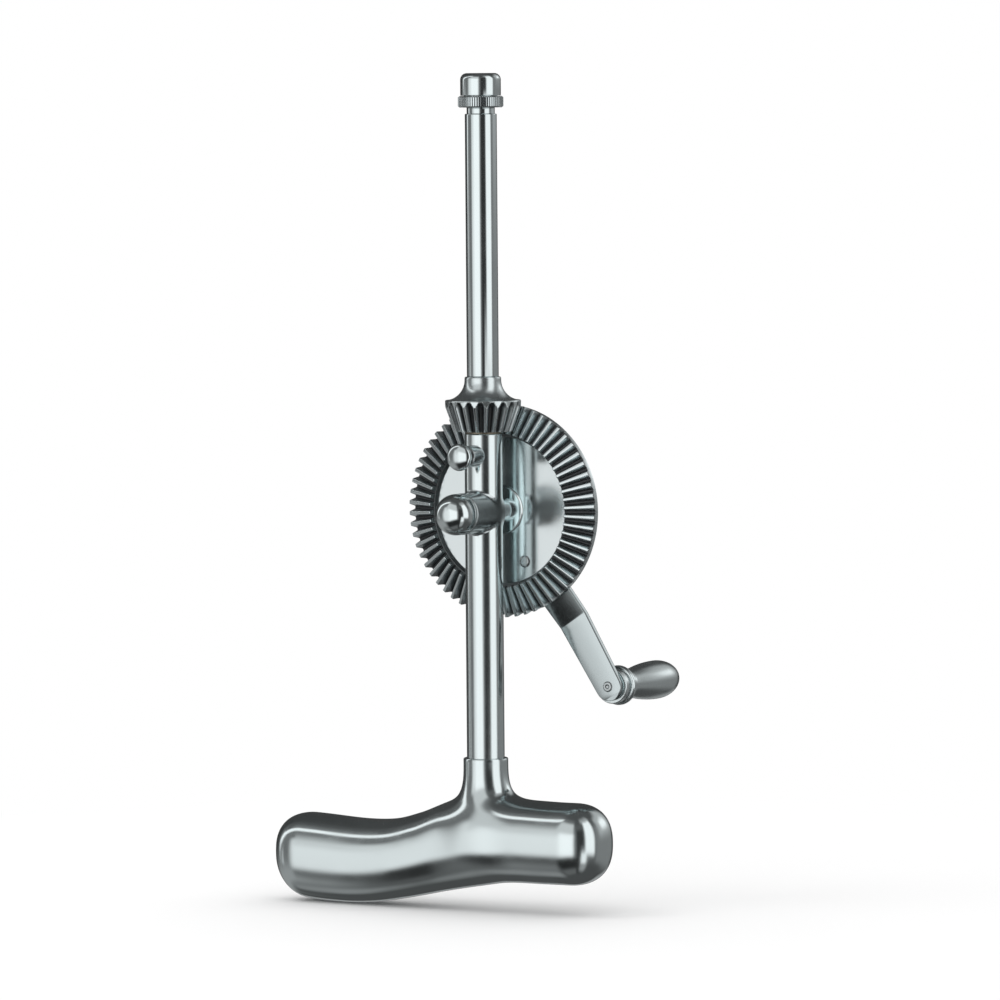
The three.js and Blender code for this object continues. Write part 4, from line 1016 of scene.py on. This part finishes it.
def catch():
    outer, inner = span("catch_housing", "y")
    housing_r = span("catch_housing", "x")[1]
    hole_r, bore_r, wall = 1.3, 2.15, 0.8
    outline = [
        (hole_r, outer), (2.9, outer, 0.2), (housing_r, outer + 0.6, 0.3), (housing_r, inner),
        (hole_r, inner), (hole_r, inner - wall), (bore_r, inner - wall), (bore_r, outer + wall),
        (hole_r, outer + wall),
    ]
    turned("catch_barrel", bored(outline), CATCH_LINE, "frame", BRUSHED, "catch_housing")

    front, rear = span("catch_knob", "y")
    head_r = span("catch_knob", "x")[1]
    neck_r, plunger_r = 2.0, 1.25
    rim = rear - 2.4
    brow = rim - 0.8
    outline = [(plunger_r, rear), (neck_r, rear), (neck_r, rim, 0.2), (head_r - 0.1, rim, 0.25)]
    outline += [(head_r, brow, 0.2)] + arc((0, brow), (head_r, front - brow), 0, 90, 14)[1:-1] + [(0, front)]
    turned("catch_button", outline, CATCH_LINE, "catch", PLATED, "catch_knob")


# Studio: a pale floor, a plain white world, and what the metal mirrors of the room. Angles are in degrees:
# the bearing runs from the camera to the right, and the rise up from the horizon.
ROOM_LEVEL = 0.07
# (name, bearing from, to, soft edge, rise from, to, soft edge, level). A later panel covers an earlier one.
PANELS = [
    ("wall", -180, 180, 1, -22, 34, 40, 0.15),
    ("behind", 140, 236, 18, -40, 64, 20, 0.045),
    ("back_low_box", 150, 214, 18, -34, -17, 9, 0.34),
    ("low_left_wash", -150, -70, 26, -44, -12, 22, 0.3),
    ("low_glow", -116, -80, 26, -66, -46, 18, 0.24),
    ("low_front", -66, 2, 12, -72, -52, 10, 0.12),
    ("upper_left", -100, -12, 30, 44, 60, 18, 0.17),
    ("upper_right", 22, 82, 20, 50, 66, 16, 0.33),
    ("far_right_wall", 84, 146, 14, -26, 26, 14, 0.2),
    ("knob_glow", 98, 152, 18, 4, 42, 16, 0.42),
    ("knob_box", 114, 136, 14, 12, 27, 11, 1),
    ("left_post", -113, -99, 8, -12, 26, 6, 0.6),
    ("left_wash", -73, -52, 16, -17, 22, 12, 0.78),
    ("left_upper_box", -66, -12, 12, 10, 48, 12, 0.58),
    ("left_box", -57, -12, 14, -18, 17, 12, 1),
    ("right_box", 34, 74, 12, -15, 52, 14, 0.97),
    ("front_gap", -1, 29, 10, -70, 32, 20, 0.03),
    ("right_low_wash", 14, 46, 16, -60, -18, 22, 0.3),
    ("right_spill", 17, 40, 10, -34, -10, 12, 0.9),
    ("dark_under", -66, 8, 18, -47, -22, 12, 0.02),
]
# Metal seen in other metal mirrors this share of the studio's light. What is mirrored three times
# also meets these panels, so the narrow space between tube and gear shows one dark and one light band.
SECOND_MIRROR = 0.62
THIRD_PANELS = [
    ("third_dark", -190, -6, 14, -80, 80, 14, 0.03),
    ("third_box", 6, 76, 14, -60, 60, 14, 1.1),
]
# A ray's depth in the world is 2 after one mirror, 3 after two and 4 after three
AFTER_TWO = 2.5
AFTER_THREE = 3.5
# A strip light runs through these two places (bearing, rise). Its rows give the angle off its line as rise.
STRIP_PLACES = ((-116, 5), (-90, 38))
STRIP_ROWS = [
    ("strip_gap", -112, -66, 12, -16, -7, 7, 0.16),
    ("strip", -118, -66, 12, -4.5, 4.5, 4, 1),
]


def panel_group():
    """Puts one panel with soft edges over what lies behind it."""
    sizes = [f"{way} {part}" for way in ("Turn", "Rise") for part in ("Middle", "Inner", "Outer")]
    inputs = floats("Behind", "Turn", "Rise", *sizes, "Level")
    group = new_group("studio_panel", "ShaderNodeTree", inputs, floats("Level"))
    given = group.nodes.new("NodeGroupInput").outputs
    masks = []
    for way in ("Turn", "Rise"):
        away = maths(group, "SUBTRACT", given[way], given[f"{way} Middle"])
        if way == "Turn":
            away = add_node(group, "ShaderNodeMath", {0: away, 1: 180, 2: -180}, operation="WRAP").outputs[0]
        edge = add_node(group, "ShaderNodeMapRange", {
            "Value": maths(group, "ABSOLUTE", away),
            "From Min": given[f"{way} Outer"],
            "From Max": given[f"{way} Inner"],
        }, interpolation_type="SMOOTHSTEP")
        masks.append(edge.outputs["Result"])
    shown = mixed(group, maths(group, "MULTIPLY", *masks), given["Behind"], given["Level"])
    add_node(group, "NodeGroupOutput", {"Level": shown})
    return group


def direction_at(turn, rise):
    """A direction from its bearing and rise, in degrees."""
    turn, rise = math.radians(turn), math.radians(rise)
    toward = Vector((math.sin(VIEW_TURN), -math.cos(VIEW_TURN), 0))
    aside = Vector((math.cos(VIEW_TURN), math.sin(VIEW_TURN), 0))
    flat = toward * math.cos(turn) + aside * math.sin(turn)
    return flat * math.cos(rise) + Vector((0, 0, math.sin(rise)))


def mirrored_studio():
    """The world is plain white, and metal mirrors soft panels and dark gaps round the drill."""
    world = bpy.data.worlds.new("studio")
    bpy.context.scene.world = world
    world.use_nodes = True
    tree = world.node_tree
    tree.nodes.clear()
    looking = tree.nodes.new("ShaderNodeTexCoord").outputs["Generated"]
    panel = panel_group()

    def along(direction):
        given = {0: looking, 1: direction}
        return add_node(tree, "ShaderNodeVectorMath", given, operation="DOT_PRODUCT").outputs["Value"]

    def in_degrees(operation, *values):
        return maths(tree, "DEGREES", maths(tree, operation, *values))

    def covered(behind, across, upward, rows):
        """What lies behind, with the panels of some rows over it."""
        for name, *sizes, level in rows:
            given = {"Behind": behind, "Turn": across, "Rise": upward, "Level": level}
            for way, (low, high, edge) in (("Turn", sizes[:3]), ("Rise", sizes[3:])):
                given[f"{way} Middle"] = (low + high) / 2
                given[f"{way} Inner"] = (high - low - edge) / 2
                given[f"{way} Outer"] = (high - low + edge) / 2
            behind = add_node(tree, "ShaderNodeGroup", given, node_tree=panel, label=name).outputs["Level"]
        return behind

    turn = in_degrees("ARCTAN2", along(direction_at(90, 0)), along(direction_at(0, 0)))
    rise = in_degrees("ARCSINE", along(direction_at(0, 90)))
    low, high = (direction_at(*place) for place in STRIP_PLACES)
    off_strip = in_degrees("ARCSINE", along(low.cross(high).normalized()))
    room = covered(ROOM_LEVEL, turn, rise, PANELS)
    room = covered(room, turn, off_strip, STRIP_ROWS)
    path = tree.nodes.new("ShaderNodeLightPath").outputs
    twice = maths(tree, "MULTIPLY", room, SECOND_MIRROR)
    thrice = covered(twice, turn, rise, THIRD_PANELS)
    deeper = mixed(tree, maths(tree, "GREATER_THAN", path["Ray Depth"], AFTER_THREE), twice, thrice)
    mirrored = mixed(tree, maths(tree, "GREATER_THAN", path["Ray Depth"], AFTER_TWO), room, deeper)
    light = add_node(tree, "ShaderNodeBackground", {"Color": mixed(tree, path["Is Glossy Ray"], 1, mirrored)})
    add_node(tree, "ShaderNodeOutputWorld", {"Surface": light.outputs["Background"]})


FLOOR_RADIUS = 420
FLOOR_GAP = 0.1
FLOOR_WHITE = 0.97
# Between these distances, in metres, the floor goes over into the plain white of the world
FLOOR_FADE = (0.22, 0.38)


def floor():
    material = bpy.data.materials.new("floor_white")
    material.use_nodes = True
    tree = material.node_tree
    tree.nodes.clear()
    place = tree.nodes.new("ShaderNodeTexCoord").outputs["Object"]
    far = add_node(tree, "ShaderNodeVectorMath", {0: place}, operation="LENGTH").outputs["Value"]
    near, gone = FLOOR_FADE
    spread = add_node(tree, "ShaderNodeMapRange", {"Value": far, "From Min": near, "From Max": gone})
    path = tree.nodes.new("ShaderNodeLightPath").outputs
    watched = maths(tree, "ADD", path["Is Camera Ray"], path["Is Glossy Ray"])
    watched = maths(tree, "ADD", watched, path["Is Transmission Ray"], clamp=True)
    plain = add_node(tree, "ShaderNodeBsdfDiffuse", {"Color": (FLOOR_WHITE, FLOOR_WHITE, FLOOR_WHITE, 1)})
    mix = add_node(tree, "ShaderNodeMixShader", {
        "Fac": maths(tree, "MULTIPLY", spread.outputs["Result"], watched),
        1: plain.outputs["BSDF"],
        2: tree.nodes.new("ShaderNodeEmission").outputs["Emission"],
    })
    add_node(tree, "ShaderNodeOutputMaterial", {"Surface": mix.outputs["Shader"]})

    bm = bmesh.new()
    bmesh.ops.create_circle(bm, cap_ends=True, radius=FLOOR_RADIUS * MM, segments=96)
    mesh = written(bm, bpy.data.meshes.new("floor"))
    mesh.transform(Matrix.Translation((0, 0, (FLOOR_Z - FLOOR_GAP) * MM)))
    mesh.materials.append(material)
    stage = new_object("floor", mesh)
    stage.visible_glossy = False


def camera():
    forward = Vector((
        -math.sin(VIEW_TURN) * math.cos(VIEW_RISE),
        math.cos(VIEW_TURN) * math.cos(VIEW_RISE),
        -math.sin(VIEW_RISE),
    ))
    level = Vector((math.cos(VIEW_TURN), math.sin(VIEW_TURN), 0))
    upright = level.cross(forward)
    right = level * math.cos(VIEW_ROLL) + upright * math.sin(VIEW_ROLL)
    up = upright * math.cos(VIEW_ROLL) - level * math.sin(VIEW_ROLL)
    distance = VIEW_LENS / VIEW_SENSOR * PICTURE_PIXELS * PIXEL
    place = Vector((0, 0, AIM_Z)) + right * AIM_SHIFT - forward * distance
    data = bpy.data.cameras.new("camera")
    data.lens = VIEW_LENS
    data.sensor_width = VIEW_SENSOR
    data.clip_start = 0.01
    data.clip_end = 100
    matrix = Matrix((right, up, -forward)).transposed().to_4x4()
    matrix.translation = place * MM
    eye = new_object("camera", data)
    eye.matrix_world = matrix
    bpy.context.scene.camera = eye


def lamp():
    data = bpy.data.lights.new("soft_box", "AREA")
    data.shape = "DISK"
    data.size = 0.5
    data.energy = 1.2
    light = new_object("soft_box", data)
    place = Vector((-0.5, -0.5, 1.0))
    light.matrix_world = Matrix.Translation(place) @ place.to_track_quat("Z", "Y").to_matrix().to_4x4()
    light.visible_glossy = False


bpy.context.scene.view_settings.view_transform = "Standard"
camera()
mirrored_studio()
floor()
lamp()
palm_handle()
frame_tube()
axle_boss()
bushes_and_cap()
bevel_gear()
pinion()
knurled_ring()
spindle_and_chuck()
crank_arm()
axle_and_rivets()
crank_knob()
catch()

# Solids that are shown as they are, with a finish
KEPT = {
    "catch_plunger": STEEL, "pinion_dowel": STEEL, "spindle_bush": BRONZE, "catch_spring": SPRING,
    "chuck_jaw_1": STEEL, "chuck_jaw_2": STEEL, "chuck_jaw_3": STEEL,
}
for node, material in KEPT.items():
    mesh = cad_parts[node].data
    mesh.materials.clear()
    mesh.materials.append(material)
